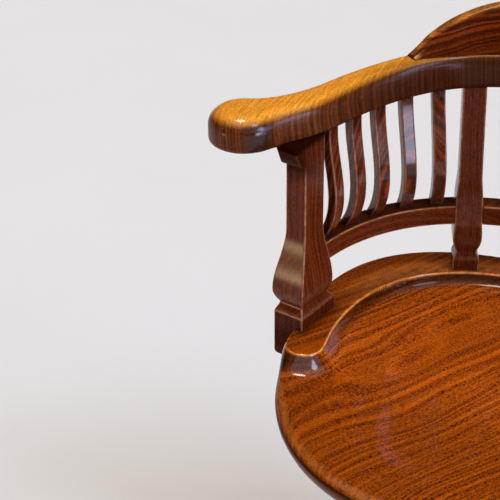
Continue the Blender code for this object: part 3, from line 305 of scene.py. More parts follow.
def eased(node, width, limit=35):
    """The CAD node's shape as one merged mesh, with edges sharper than limit degrees rounded to a width."""
    bm = bmesh.new()
    bm.from_mesh(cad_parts[node].data)
    bmesh.ops.remove_doubles(bm, verts=bm.verts, dist=1e-6)
    bmesh.ops.dissolve_limit(bm, angle_limit=math.radians(1), verts=bm.verts, edges=bm.edges)
    sharp = [e for e in bm.edges if e.is_manifold and e.calc_face_angle() > math.radians(limit)]
    bmesh.ops.bevel(bm, geom=sharp, offset=width, segments=2, profile=0.5, affect="EDGES", material=-1,
                    clamp_overlap=True)
    return bm


# cast brass, handled for years: dull gold, brown with tarnish in patches, and a soft uneven gleam
brass = metal("cast_brass", "#B08A45", "#7A5A2A", 0.34, 1.2, 0.15)
# turned steel kept bright with oil: a cool grey with a tight gleam
steel = metal("bright_steel", "#9A9893", "#6E6B66", 0.28, 0.8, 0.08)
# turned hardwood: close and nearly black with floor dirt, pale where its edges have rolled
wheel_wood = oak("turned_hardwood", "#5A2E18", "#371A0D", "#1E0D07", (0, 0, 0), (0.0, 0.05), 4)
for number in range(1, 5):
    piece(f"socket_{number}", eased(f"caster_socket_{number}", 0.0005), brass, "base",
          [f"caster_socket_{number}"])
    piece(f"horn_{number}", eased(f"caster_horn_{number}", 0.0007), brass, f"caster_{number}",
          [f"caster_horn_{number}"])
    piece(f"axle_{number}", eased(f"caster_axle_{number}", 0.0006), steel, f"caster_{number}",
          [f"caster_axle_{number}"])
    piece(f"wheel_{number}", eased(f"caster_wheel_{number}", 0.0010), wheel_wood, f"wheel_{number}",
          [f"caster_wheel_{number}"], rub=1.5)


# Sleeve, collar and hand nut: a flanged cast sleeve let into the hub, a steel thrust collar on it, and the
# scalloped iron hand nut that carries the seat's weight on the screw.

# cast iron under black japan: sand-cast pits filled with varnish, so a soft grey sheen and no mirror
iron = metal("japanned_cast_iron", "#2B2825", "#191716", 0.42, 1.6, 0.35, metallic=0.35)
piece("sleeve_casting", eased("hub_sleeve", 0.0008), iron, "base", ["hub_sleeve"])
piece("thrust_collar", eased("swivel_collar", 0.0010), steel, "collar", ["swivel_collar"])
piece("hand_nut", eased("handwheel_nut", 0.0012), iron, "nut", ["handwheel_nut"])


def screw_heads(places, radius, upright):
    """Domed screw heads with sawn slots, standing on a face that looks up or down.

    A head is three cuts of one dome: a cheek on each side of the slot, and the slot's floor between them.
    """
    bm = bmesh.new()
    seat_cut, floor_cut = ((0, 0, 0), (0, 0, -1)), ((0, 0, radius * 0.2), (0, 0, 1))
    for number, place in enumerate(places):
        for cheek in (-1, 0, 1):
            head = bmesh.new()
            bmesh.ops.create_uvsphere(head, u_segments=24, v_segments=12, radius=radius)
            bmesh.ops.scale(head, vec=(1, 1, 0.45), verts=head.verts)
            slot_cut = ((0, cheek * radius * 0.1, 0), (0, -cheek, 0))
            for spot, away in (seat_cut, slot_cut if cheek else floor_cut):
                whole = head.verts[:] + head.edges[:] + head.faces[:]
                bmesh.ops.bisect_plane(head, geom=whole, plane_co=spot, plane_no=away, clear_outer=True)
                bmesh.ops.holes_fill(head, edges=[e for e in head.edges if e.is_boundary])
            turn = Matrix.Rotation(1.1 * number, 4, "Z") @ Matrix.Rotation(0 if upright else math.pi, 4, "X")
            bmesh.ops.transform(head, matrix=Matrix.Translation(place) @ turn, verts=head.verts)
            bmesh.ops.recalc_face_normals(head, faces=head.faces)
            joined = bpy.data.meshes.new("screw_head")
            head.to_mesh(joined)
            head.free()
            bm.from_mesh(joined)
            bpy.data.meshes.remove(joined)
    return bm


corners = [math.pi / 4 + math.pi / 2 * k for k in range(4)]
flange_z, flange_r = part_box("hub_sleeve")[1].z, 0.0370
flange_spots = [Vector((flange_r * math.cos(a), flange_r * math.sin(a), flange_z)) for a in corners]
piece("flange_screws", screw_heads(flange_spots, 0.0024, True), steel, "base", [])


# Spindle: the steel lifting screw, cut with a coarse square-shouldered thread along all of its length that
# the nut can reach, and plain where it is fixed in the cradle.
screw_low, screw_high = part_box("spindle")[0].z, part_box("spindle")[1].z
pitch, thread, screw_r, screw_sides = 0.00635, 0.0014, 0.0125, 40
thread_end, point_cut = 0.304, 0.003
screw_steps = 12 * round((screw_high - screw_low) / pitch)


def thread_point(i, j):
    """Point on the screw: full radius on the crest of the thread and less in its groove."""
    if j in (0, screw_steps):
        return (0, 0, screw_low if j == 0 else screw_high)
    z = screw_low + (screw_high - screw_low) * (j - 1) / (screw_steps - 2)
    angle = math.tau * i / screw_sides
    wave = math.sin(math.tau * (z / pitch) - angle)
    ends = min(1, (z - screw_low) / pitch, max(0, (thread_end - z) / pitch))
    r = screw_r - thread * (0.5 - 0.5 * max(-1, min(1, 2.2 * wave))) * ends
    r -= point_cut * max(0, 1 - (z - screw_low) / point_cut)
    return (r * math.cos(angle), r * math.sin(angle), z)


bm = bmesh.new()
wrap(bm, thread_point, screw_sides, screw_steps)
piece("lifting_screw", bm, steel, "column", ["spindle"], crease=60)


# Tilt mechanism: an iron cradle on the screw, a steel pivot pin, two coil springs and the four-armed iron
# under the seat, whose ears hang on the pin. The springs shorten as the seat leans back.
piece("cradle_casting", eased("tilt_cradle", 0.0010), iron, "column", ["tilt_cradle"])
piece("pivot_pin", eased("tilt_pin", 0.0008), steel, "seat", ["tilt_pin"])
piece("seat_iron_casting", eased("seat_iron", 0.0010), iron, "seat", ["seat_iron"])
iron_thick = 0.006
iron_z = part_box("seat_iron")[1].z - iron_thick
iron_spots = [Vector((r * math.cos(a), r * math.sin(a), iron_z)) for r in (0.105, 0.132) for a in corners]
piece("seat_iron_screws", screw_heads(iron_spots, 0.0048, False), steel, "seat", [])
coil_turns, wire, coil_r, wire_sides = 6, 0.0021, 0.0135, 10
coil_y, coil_steps = 0.055, coil_turns * 28
for hand in ("left", "right"):
    low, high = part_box(f"tilt_spring_{hand}")
    middle = Vector(((low.x + high.x) / 2, coil_y, 0))

    def coil_point(i, j, middle=middle, low=low.z + wire, high=high.z - wire):
        """Point on the wire: a round section carried up a helix whose last turns lie flat."""
        t = j / coil_steps
        flat = 1 / coil_turns
        rise = min(max((t - flat * 0.5) / (1 - flat), 0), 1)
        turn, dip = math.tau * coil_turns * t, math.tau * i / wire_sides
        ends = 0 if j in (0, coil_steps) else 1
        reach = coil_r + wire * math.cos(dip) * ends
        z = low + (high - low) * rise + wire * math.sin(dip) * ends
        return middle + Vector((reach * math.cos(turn), reach * math.sin(turn), z))

    bm = bmesh.new()
    wrap(bm, coil_point, wire_sides, coil_steps)
    spring = piece(f"coil_spring_{hand}", bm, steel, "column", [f"tilt_spring_{hand}"], crease=70)
    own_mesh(spring)


# Seat: boards of oak glued up and worked to a saddle. A flat rim is left standing round the back and sides,
# it ends in a round nose before each front post, and its inner arris has worn to a pale line.

# oak polished by sitting: glowing orange under a thick clear varnish, with close dark pores that break it up
seat_oak = oak("seat_oak_varnished", "#DA680C", "#9E4003", "#380E02", (0, 0, math.radians(-58)),
               (0.10, 0.30), 3.6, band=0.6, pore_mm=(3.0, 1.0), pores=0.95, worn="#FFA048", film=(1.5, 0.08))
seat_under, rim_z, front_z, dish_z = 0.406, 0.450, 0.434, 0.429
seat_half, seat_mid, rim_round = 0.2265, Vector((0, 0.003)), 0.004
seat_back, seat_front = 0.223, 0.265


def ease(t):
    """A smooth step from 0 to 1."""
    t = min(max(t, 0), 1)
    return t * t * (3 - 2 * t)


def ease_all(t):
    """The same step for an array."""
    t = np.clip(t, 0, 1)
    return t * t * (3 - 2 * t)


def seat_outline(count):
    """Points round the seat's edge, anticlockwise from the middle of the front, closest by the noses."""
    turn = np.linspace(-math.pi / 2, 1.5 * math.pi, 6001)
    c, s = np.cos(turn), np.sin(turn)
    power = np.where(s > 0, 2 / 2.7, 2 / 2.2)
    reach = np.where(s > 0, seat_back - seat_mid.y, seat_front + seat_mid.y)
    x = np.clip((seat_half + 0.003) * np.sign(c) * np.abs(c) ** power, -seat_half, seat_half)
    y = seat_mid.y + reach * np.sign(s) * np.abs(s) ** power
    crowd = 1 + 1.5 * np.exp(-((y[1:] + 0.045) / 0.035) ** 2)
    length = np.concatenate([[0], np.cumsum(np.hypot(np.diff(x), np.diff(y)) * crowd)])
    even = np.linspace(0, length[-1], count, endpoint=False)
    return np.stack([np.interp(even, length, x), np.interp(even, length, y)], 1)


# the rim's inner line on the right half: from the back's middle to the nose, and round it to the edge
rim_back = bezier(Vector((0, 0.1800)), Vector((0.132, 0.1860)), Vector((0.197, 0.093)),
                  Vector((0.1832, -0.0320)), 90)
nose_mid, nose_r = Vector((0.2040, -0.0435)), 0.0213
nose = [nose_mid + Vector((math.cos(a), math.sin(a))) * nose_r
        for a in np.linspace(math.radians(-184), math.radians(12), 48)]
rim_line = np.array(rim_back + nose + [Vector((0.2465, -0.0350))])


def from_rim(points):
    """Distance of plan points from the rim's inner line, positive in the dish."""
    p = np.stack([np.abs(points[:, 0]), points[:, 1]], 1)
    start, step = rim_line[:-1], np.diff(rim_line, axis=0)
    least, side = np.full(len(p), np.inf), np.ones(len(p))
    for a, d in zip(start, step):
        t = np.clip((p - a) @ d / (d @ d), 0, 1)
        away = p - a - t[:, None] * d
        far = np.hypot(*away.T)
        nearer = far < least
        least[nearer] = far[nearer]
        side[nearer] = np.sign(d[1] * away[nearer, 0] - d[0] * away[nearer, 1])
    return least * side


post_turn, post_mid = math.radians(15), Vector((0.225, 0.0145))
plinth_wide, plinth_deep = 0.0384, 0.0657
seat_count = 960
edge_line = seat_outline(seat_count)
middle = np.array(seat_mid)
rays = edge_line - middle
reaches = np.hypot(*rays.T)
# how far inside the edge each ray meets the rim's line; rays before the noses take its usual place
usual_in = 0.043
steps = np.linspace(0.030, 0.055, 51)
met = np.array([from_rim(middle + rays * (1 - far / reaches)[:, None]) > 0 for far in steps])
line_in = np.where(met.any(0) & ~met[0], steps[met.argmax(0)], usual_in)
line_in = np.convolve(np.concatenate([line_in[-10:], line_in, line_in[:10]]), np.ones(21) / 21, "valid")
# rings of points inwards from the edge: its rounding, the rim, close rows over the rim's line, the dish;
# ahead of the noses the edge is rounded deeper, and wider than it is deep
brim = rim_round + 0.006 * ease_all((-0.046 - edge_line[:, 1]) / 0.03)
slope = brim + 0.008 * ease_all((-0.070 - edge_line[:, 1]) / 0.08)
level, close, close_step, rim_rows = brim * 0, 0.0035, 0.0005, 26
turns = [math.pi / 2 * i / 6 for i in range(7)]
rows = [(slope * (1 - math.cos(a)), brim * (1 - math.sin(a))) for a in turns]
rows += [(slope + (line_in - close - slope) * k / rim_rows, level) for k in range(1, rim_rows + 1)]
rows += [(line_in - close + close_step * k, level) for k in range(1, round(2 * close / close_step) + 1)]
step, far = 0.0008, line_in + close
while far.min() < 0.19:
    far = far + step
    step *= 1.12
    rows.append((far, level))
rows = rows[:-1]
# rows near the edge keep its outline, and turn into smaller copies of it further in
outline_in, copy_in = 0.060, 0.2
rings = []
for far, drop in rows:
    blend = np.clip((far - outline_in) / (copy_in - outline_in), 0, 1)
    share = (far / reaches) * (1 - blend) + 0.97 * (far / copy_in) * blend
    rings.append(middle + rays * (1 - share)[:, None])
top_plan = np.concatenate(rings)
gap = from_rim(top_plan)
radial = np.hypot(*(top_plan - middle).T) / np.tile(reaches, len(rows))
bowl = ease_all((radial - 0.40) / 0.45) * (front_z - dish_z)
pommel = 0.003 * np.exp(-(top_plan[:, 0] / 0.040) ** 2) * np.clip((0.02 - top_plan[:, 1]) / 0.2, 0, 1)
low = dish_z + bowl + pommel * np.clip((0.97 - radial) / 0.1, 0, 1)
# the wall of the dish falls away from a fillet of about a millimetre
fall = 0.0007 * np.logaddexp(0, gap / 0.0007)
wall = 0.55 * np.exp(-fall / 0.0035) + 0.45 * np.exp(-fall / 0.016)
# before each nose it runs down a straight ramp and flattens out, a little under the rest
ramp_end, ramp_out, ramp_low = 0.006, 0.021, 0.003
by_nose = np.hypot(np.abs(top_plan[:, 0]) - nose_mid.x, top_plan[:, 1] - nose_mid.y)
flat = np.clip((fall - ramp_end) / ramp_out, 0, 1)
ramp = np.minimum(fall, ramp_end) + ramp_out * (flat - flat ** 3 + flat ** 4 / 2)
skirt = np.clip(1 - (ramp + 0.001 * (1 - np.exp(-fall / 0.0015))) / (rim_z - front_z + ramp_low), 0, 1)
near = np.exp(-(by_nose / 0.07) ** 6)
low = low - ramp_low * near
wall = wall + (skirt - wall) * near
height = low + (rim_z - low) * wall - np.concatenate([drop for far, drop in rows])
# the underside and its rounded lower edge: share of the way out, further reach, and rise
side_levels = [(0.0, 0.0, 0), (0.45, 0.0, 0), (0.90, 0.0, 0), (1, -0.012, 0), (1, -0.0095, 0.0008)]
side_levels += [(1, -0.0065, 0.003), (1, -0.004, 0.006), (1, -0.002, 0.010)]
side_levels += [(1, -0.0005, 0.0135), (1, 0.0, 0.017)]


def seat_spot(i, j):
    """Point of the seat: up the underside and the edge, then over the top to the middle."""
    if j < len(side_levels):
        share, out, rise = side_levels[j]
        return (*(middle + rays[i] * (share + out / reaches[i])), seat_under + rise)
    n = min(j - len(side_levels), len(rows) - 1) * seat_count + i
    if j == len(side_levels) + len(rows):
        return (*seat_mid, height[n - i])
    return (*top_plan[n], height[n])


bm = bmesh.new()
wrap(bm, seat_spot, seat_count, len(side_levels) + len(rows))
bm.verts.ensure_lookup_table()
bm.normal_update()
gap = from_rim(np.array([v.co.xy for v in bm.verts]))
worn, grime_and_shade, stain_and_shade = (bm.verts.layers.float.new(name) for name in ("worn", "grime_and_shade", "stain_and_shade"))
for v, away in zip(bm.verts, gap):
    plan, y, z, up = Vector((abs(v.co.x), v.co.y)), v.co.y, v.co.z, v.normal.z
    # the rim: pale along its inner arris and its edge, lightened along the middle of the back as painted
    # light, and darker outwards at the back as painted shade
    v[worn] = 1.3 * math.exp(-(away / 0.0007) ** 2) if z > dish_z else 0
    if z > rim_z - 0.003:
        # painted light: the back of the rim is lightened where the arm and slats shade it
        v[worn] += 0.34 * ease(-away / 0.006) * ease((0.034 + away) / 0.014) * ease((y - 0.05) / 0.08)
    if away < 0 and rim_z - 0.0030 < z < rim_z - 0.0002:
        v[worn] = max(v[worn], 0.6)
    # the rim is darker and duller towards the front and beside the post's plinth
    beside = Matrix.Rotation(-post_turn, 2) @ (plan - post_mid)
    foot = math.hypot(max(abs(beside.x) - plinth_wide / 2, 0), max(abs(beside.y) - plinth_deep / 2, 0))
    v[grime_and_shade] = 0.14 * ease(-away / 0.002) * ease((0.10 - y) / 0.12) + 0.5 * ease(1 - foot / 0.014)
    # painted shade: the rim's outer part at the back is darkened under the rail
    v[grime_and_shade] += 0.40 * ease((-away - 0.026) / 0.012) * ease((y - 0.03) / 0.05)
    toward = plan - nose_mid
    clear = ease(toward.length / 0.04 - 1)
    if z > dish_z - 0.004 and away > 0:
        # the dish: darker and duller under its back wall, and painted shade before the noses, over the front
        # of the dish and under the side walls
        back_wall_darkening = (0.2 + 0.65 * ease((y - 0.02) / 0.06)) * clear
        v[grime_and_shade] += back_wall_darkening * ease(away / 0.001) * ease(1 - (away - 0.003) / 0.012)
        # painted shade on the ramp before each nose
        v[stain_and_shade] = 0.72 * (1 - clear) * ease(-toward.y / 0.02)
        v[stain_and_shade] *= ease(away / 0.002) * ease(1 - (away - 0.008) / 0.014)
        # painted shade: the front of the dish is darkened and dulled to even out the stronger light there
        v[grime_and_shade] += 0.3 * ease((-0.03 - y) / 0.10)
        # painted shade under the side walls
        side_wall_shade = 0.45 * ease((0.08 - y) / 0.06) * ease((y + 0.05) / 0.02)
        v[stain_and_shade] += side_wall_shade * ease(away / 0.001) * ease(1 - (away - 0.004) / 0.012)
    if away > 0 and z > seat_under + 0.001:
        # ahead of the noses the rounded edge is darkened below, painted shade, and paler along its upper
        # bend
        fore = ease((-0.055 - y) / 0.03)
        v[grime_and_shade] += 0.75 * fore * ease((0.75 - up) / 0.3)
        v[worn] += 0.32 * clear * fore * ease((up - 0.74) / 0.08) * ease((0.975 - up) / 0.04)
piece("saddle_seat", bm, seat_oak, "seat", ["seat_board"], crease=85)


# Front posts: square oak balusters with an ogee foot on a chamfered plinth, which is notched over the edge
# of the seat and screwed to its side, and a head with a corbel in front under the overhang of the arm.

def heading(turn):
    """The way over the plan that is turned from straight back towards the middle."""
    return Vector((-math.sin(turn), math.cos(turn)))


# upright oak, fumed dark and wiped with little varnish: red-brown, fine lines, a low gleam on its curves
dark_oak = oak("post_oak_varnished", "#7C3410", "#521D08", "#260A03", UPRIGHT, (0.12, 0.26), 3, band=0.55,
               pore_mm=(4, 1.0), pores=0.7, worn="#C08868", film=(1.23, 0.2), glow=0)
post_back = heading(post_turn)
arm_under, plinth_lap, plinth_rise = 0.2245, 0.043, 0.014
neck_rise, bulb_rise, bulb_fall, head_tall = 0.012, 0.018, 0.073, 0.026
neck_h, bulb_h = 0.026, 0.044
# width, depth and forward shift of the post at each of its turns
plinth, neck = (plinth_wide, plinth_deep, 0), (0.0305, 0.051, 0.002)
bulb, waist = (0.042, 0.060, 0.0045), (0.026, 0.0355, 0.0015)


def post_size(h):
    """Width, depth, forward shift, turn and outward shift of a front post at a height over the rim."""
    if h <= plinth_rise:
        return *plinth, 0, 0
    if h <= neck_h:
        grow = ease((h - plinth_rise) / neck_rise)
        sizes = plinth, neck
    elif h <= bulb_h:
        grow = math.sin(math.pi / 2 * (h - neck_h) / bulb_rise)
        sizes = neck, bulb
    else:
        grow = ease((h - bulb_h) / bulb_fall)
        sizes = bulb, waist
    width, depth, forward = (a + (b - a) * grow for a, b in zip(*sizes))
    head = max(0, (h - arm_under + head_tall) / head_tall)
    flare = 0.008 * min(1, head / 0.15) + 0.009 * head
    return width, depth + flare, forward + flare / 2, math.radians(4) * head, 0.001 * head


post_heights = [h - plinth_lap for h in (0, 0.002, 0.005)]
post_heights += [-0.03, -0.01, -0.004, -0.003, -0.002, -0.0010, -0.0003, 0.0002, 0.0003, 0.002]
post_heights += [plinth_rise + h for h in (-0.0015, 0, 0.0008, 0.003, 0.006, 0.009)] + [neck_h]
post_heights += [neck_h + bulb_rise * i / 8 for i in range(1, 9)]
post_heights += [bulb_h + bulb_fall * i / 20 for i in range(1, 21)] + [0.135, 0.155, 0.175]
post_heights += [arm_under + h for h in (-0.0275, -0.026, -0.0225, -0.0210, -0.014, -0.007, 0.003)]
hands = (("left", -1), ("right", 1))
# joined faces stand this far apart, as they do in the frame
fit = 0.0003
for hand, side in hands:
    rings = []
    for h in post_heights:
        width, depth, forward, turn, out = post_size(h)
        # the plinth's lower end is rounded, and its notch follows the seat's edge with a close fit
        under = max(0, 1 - (h + plinth_lap) / 0.005) ** 2 * 0.005
        centre = post_mid + Matrix.Rotation(post_turn, 2) @ Vector((out, -forward))
        ring = [centre + Matrix.Rotation(post_turn + turn, 2) @ p
                for p in squared(width - under, depth - under, 0.0012, arc=2, margin=0.001)]
        if h < fit:
            rolled_in = rim_round - math.sqrt(rim_round ** 2 - max(0, rim_round + min(h, 0)) ** 2)
            wide = Vector((math.cos(post_turn), math.sin(post_turn)))
            ring = [p + wide * (max(0, seat_half + fit - rolled_in - p.x) / wide.x) for p in ring]
        rings.append([(p.x * side, p.y, rim_z + h) for p in ring])
    bm = bmesh.new()
    wrap(bm, lambda i, j: rings[j][i], len(rings[0]), len(rings) - 1)
    layer = bm.verts.layers.float.new("grime_and_shade")
    for v in bm.verts:
        # darker and duller on the plinth; painted shade on the corbel and on the head close under the arm
        h, fore = v.co.z - rim_z, (post_mid - Vector((v.co.x * side, v.co.y))).dot(post_back)
        v[layer] = 0.45 * ease((0.016 - h) / 0.004) + 0.3 * ease((0.004 - h) / 0.02)
        v[layer] += 0.8 * ease((h - 0.18) / 0.018) * ease(fore / 0.018)
        v[layer] += ease((h - arm_under + 0.007) / 0.004)
    piece(f"front_post_baluster_{hand}", bm, dark_oak, "seat", [f"front_post_{hand}"], rub=0.75,
          crease=30)


# Lower rail: sawn from oak to a horseshoe, in three lengths tenoned between the posts. Its upper inner
# arris is rubbed, and the slats are let into its top.

# oak sawn across its bend: brown-red with long pores that run off the edges, and a half gleam
rail_oak = oak("rail_oak_varnished", "#803816", "#5A240B", "#2C1006", (0, 0, math.radians(-69)), (0.2, 0.4),
               5, pore_mm=(8, 1.2), pores=0.7, worn="#C88450")
rail_z, rail_top, rail_deep, rail_mid_h = 0.513, 0.537, 0.025, 0.075
rail_start = post_size(rail_mid_h)[1] / 2 - post_size(rail_mid_h)[2]
rail_line = bezier(post_mid + post_back * rail_start, post_mid + post_back * (rail_start + 0.107),
                   Vector((0.110, 0.1985)), Vector((0, 0.1985)), 200)


def along_line(line, length):
    """Place and direction on a plan line at a length from its start."""
    for a, b in zip(line, line[1:]):
        step = (b - a).length
        if length <= step or b is line[-1]:
            return a + (b - a) * (length / step), (b - a).normalized()
        length -= step


rail_length = sum((b - a).length for a, b in zip(rail_line, rail_line[1:]))


def rail_span(start, stop, steps, slide):
    """Cross-sections of the rail between two lengths; slide(point, along, k) trims the end ones."""
    rows = []
    for k in range(steps + 1):
        spot, along = along_line(rail_line, start + (stop - start) * k / steps)
        out = Vector((along.y, -along.x))
        row = []
        for p in squared(rail_deep, rail_top - rail_z, 0.0014, arc=2, margin=0.0009):
            point = (spot + out * p.x).to_3d() + Vector((0, 0, (rail_top + rail_z) / 2 + p.y))
            row.append(slide(point, along, k))
        rows.append(row)
    return rows


rear_at, rear_wide, rear_deep, side_steps = 0.212, 0.032, 0.030, 40
rear_foot, rear_along = along_line(rail_line, rear_at)


def to_rear_post(point, along, way):
    """Slide a point of the rail along it to the face of the rear post on one side or the other."""
    short = way * (rear_wide / 2 + fit) - (point.to_2d() - rear_foot).dot(rear_along)
    return point + (along * (short / along.dot(rear_along))).to_3d()


def post_face(point, along, k):
    """The side rail's ends: the front post's sloping back, and the rear post's face."""
    if k == 0:
        depth, forward = post_size(point.z - rim_z)[1:3]
        return point + (post_back * (depth / 2 - forward - rail_start + fit)).to_3d()
    return to_rear_post(point, along, -1) if k == side_steps else point


side_rows = rail_span(0, rear_at - rear_wide / 2, side_steps, post_face)
for hand, side in hands:
    bm = bmesh.new()
    wrap(bm, lambda i, j: (side_rows[j][i].x * side, *side_rows[j][i].yz), len(side_rows[0]), side_steps)
    # dust that no cloth reaches lies on top, between the slats
    layer = bm.verts.layers.float.new("grime_and_shade")
    for v in bm.verts:
        v[layer] = 0.65 if v.co.z > rail_top - 1e-4 else 0
    piece(f"side_rail_{hand}_sawn", bm, rail_oak, "seat", [f"side_rail_{hand}"], rub=0.7)
back_rows = rail_span(rear_at + rear_wide / 2, rail_length, 24,
                      lambda point, along, k: to_rear_post(point, along, 1) if k == 0 else point)
back_rows += [[Vector((-p.x, *p.yz)) for p in row] for row in back_rows[-2::-1]]
bm = bmesh.new()
wrap(bm, lambda i, j: back_rows[j][i], len(back_rows[0]), len(back_rows) - 1)
piece("back_rail_sawn", bm, rail_oak, "seat", ["back_rail"], rub=0.7)


# Slats and rear posts: flat oak slats bent towards the small of the back, let into the rail and the arm,
# and two stouter posts with the front posts' foot, which stand on the rim between the side and back slats.
inner_start, inner_turn, inner_back = post_mid + Vector((-0.015, 0.0135)), 0.3665, 0.220
arm_inner = bezier(inner_start, inner_start + heading(inner_turn) * 0.120, Vector((0.123, inner_back)),
                   Vector((0, inner_back)), 120)
slat_wide, slat_thick, slat_bow = 0.0154, 0.012, 0.0146


def lean_at(length, head_in):
    """Foot of a slat at a length along the rail, the way outwards, and how far its head leans out."""
    foot, along = along_line(rail_line, length)
    out = Vector((along.y, -along.x))
    foot = foot + out * 0.0015
    leans = []
    for before, edge, after in zip(arm_inner, arm_inner[1:], arm_inner[2:]):
        way = (after - before).normalized()
        point = edge + Vector((way.y, -way.x)) * head_in - foot
        if abs(point.dot(along)) < slat_wide:
            leans.append(point.dot(out))
    return foot, out, max(leans)


# bent oak riven a little off its grain: strong dark and red bands that slant across it under a clear gleam
slat_oak = oak("slat_oak_varnished", "#8A3A18", "#441808", "#260C05", (0, math.pi / 2 - 0.22, 0),
               (0.12, 0.26), 4, band=0.95, sway_mm=26, pore_mm=(6, 1.1), worn="#C08868", film=(1.4, 0.10))
slat_steps = 36


def slat(name, length, side):
    """A slat with eased corners, bowed most a third of the way up, mirrored to a side."""
    foot, out, lean = lean_at(length, 0.0075)
    low, high = rail_top + fit, rim_z + arm_under + 0.0015
    face = Matrix.Rotation(math.atan2(out.y, out.x), 2)
    rows = []
    for k in range(slat_steps + 1):
        t = k / slat_steps
        # 6.75 makes the bow's greatest depth, a third of the way up, the one that is named
        centre = foot + out * (lean * t - slat_bow * 6.75 * t * (1 - t) ** 2)
        ring = [centre + face @ p for p in squared(slat_thick, slat_wide, 0.0014, arc=2, margin=0.0008)]
        rows.append([(p.x * side, p.y, low + (high - low) * t) for p in ring])
    bm = bmesh.new()
    wrap(bm, lambda i, j: rows[j][i], len(rows[0]), slat_steps)
    # darker and duller towards both ends, in the corners
    layer = bm.verts.layers.float.new("grime_and_shade")
    for v in bm.verts:
        v[layer] = 0.7 * max(0, 1 - (v.co.z - low) / 0.020) + 0.6 * max(0, 1 - (high - v.co.z) / 0.025)
    piece(name.replace("slat", "bent_slat"), bm, slat_oak, "seat", [name], rub=1.1, crease=50)


side_slats, back_slats = 5, 3
side_room, back_room = rear_at - rear_wide / 2, 2 * (rail_length - rear_at) - rear_wide
# a rear post has the front ones' foot up to the rail, where it is square, and thins and leans above it
rail_h, rail_over_h = 0.063, 0.087
rear_heights = [fit] + [h for h in post_heights if h > 0.001 and h < 0.06]
rear_heights += [rail_h, rail_over_h, 0.095, 0.105, 0.117, 0.14, 0.17, 0.2, 0.2242]
for hand, side in hands:
    for number in range(side_slats):
        slat(f"side_slat_{hand}_{number + 1}", side_room / side_slats * (number + 0.4), side)
    foot, out, lean = lean_at(rear_at, 0.014)
    face = Matrix.Rotation(math.atan2(out.y, out.x), 2)
    rows = []
    for h in rear_heights:
        share = 1 - 0.15 * ease((h - rail_over_h) / 0.036)
        if h < rail_h:
            share = post_size(h)[0] / post_size(rail_h)[0]
        middle = foot + out * lean * max(0, (h - rail_h) / (arm_under - rail_h))
        ring = [middle + face @ p
                for p in squared(rear_deep * share, rear_wide * share, 0.0012, arc=2, margin=0.001)]
        rows.append([(p.x * side, p.y, rim_z + h) for p in ring])
    bm = bmesh.new()
    wrap(bm, lambda i, j: rows[j][i], len(rows[0]), len(rows) - 1)
    piece(f"rear_post_square_{hand}", bm, dark_oak, "seat", [f"rear_post_{hand}"], rub=0.6,
          crease=30)
for number in range(back_slats):
    place = back_room * ((number + 1) / (back_slats + 1) - 0.5)
    slat(f"back_slat_{number + 1}", rail_length - abs(place), 1 if place >= 0 else -1)


# Arms: two halves of a bow sawn from thick oak and joined behind the sitter. Each swells to a round paddle
# beyond its post, and the top edge is rolled over all round.

# oak bleached and rubbed by hands: amber with a short speckle on top, brown with upright lines at the sides,
# where the darker tint is partly painted shade
arm_oak = oak("arm_oak_varnished", "#FFB63A", "#FF9A22", "#CC7418", (0, 0, -math.pi / 2), (0.9, 0.64), 2.6,
              band=0.5, sway_mm=3, pore_mm=(2.2, 1.0), pores=0.85, side="#644E86", film=(1.5, 0.16),
              glow=0.08)
arm_thick, arm_low = 0.038, rim_z + arm_under
outer_start, outer_turn, outer_back = post_mid + Vector((0.025, 0.0465)), 0.5934, 0.266
arm_outer = bezier(outer_start, outer_start + heading(outer_turn) * 0.075, Vector((0.170, outer_back)),
                   Vector((0, outer_back)), 60)
paddle_mid, paddle_r = post_mid + Vector((0.060, -0.0295)), 0.0385
paddle_from, paddle_to = math.radians(205), math.radians(435)
paddle = [paddle_mid + Vector((math.cos(a), math.sin(a))) * paddle_r
          for a in np.linspace(paddle_from, paddle_to, 48)]
# hollows lead from the arm into the paddle, the throat inside and the elbow outside
pull = paddle_r * 0.5
throat = bezier(inner_start, inner_start - heading(inner_turn) * pull,
                paddle[0] - heading(paddle_from) * pull, paddle[0], 12)
elbow = bezier(paddle[-1], paddle[-1] + heading(paddle_to) * pull,
               outer_start - heading(outer_turn) * pull, outer_start, 14)
arm_line = arm_inner[::-2] + throat[1:-1] + paddle + elbow[1:-1] + arm_outer
arm_line[0], arm_line[-1] = (Vector((fit / 2, p.y)) for p in (arm_line[0], arm_line[-1]))
# the roll of the top edge is full at the paddle and tight behind; the lower edge's is small throughout
arm_share = [0.3 + 0.45 * ease((p.x - 0.128) / 0.05) + 0.25 * ease((p.x - 0.22) / 0.03) for p in arm_line]
under_share = [0.35 + 0.65 * ease((p.x - 0.235) / 0.03) for p in arm_line]
roll_wide, roll_tall, under_roll = 0.020, 0.019, 0.006
arm_steps = [(0.0075, 0)] + rolled(under_roll, under_roll, 0, 4)
arm_steps += [(a, h + arm_thick - roll_tall) for a, h in rolled(roll_wide, 0, roll_tall, 12)]
arm_steps += [(0.0215, arm_thick)]
arm_rows = [inset(arm_line, [a * share for share in (arm_share if h > under_roll else under_share)])
            for a, h in arm_steps]
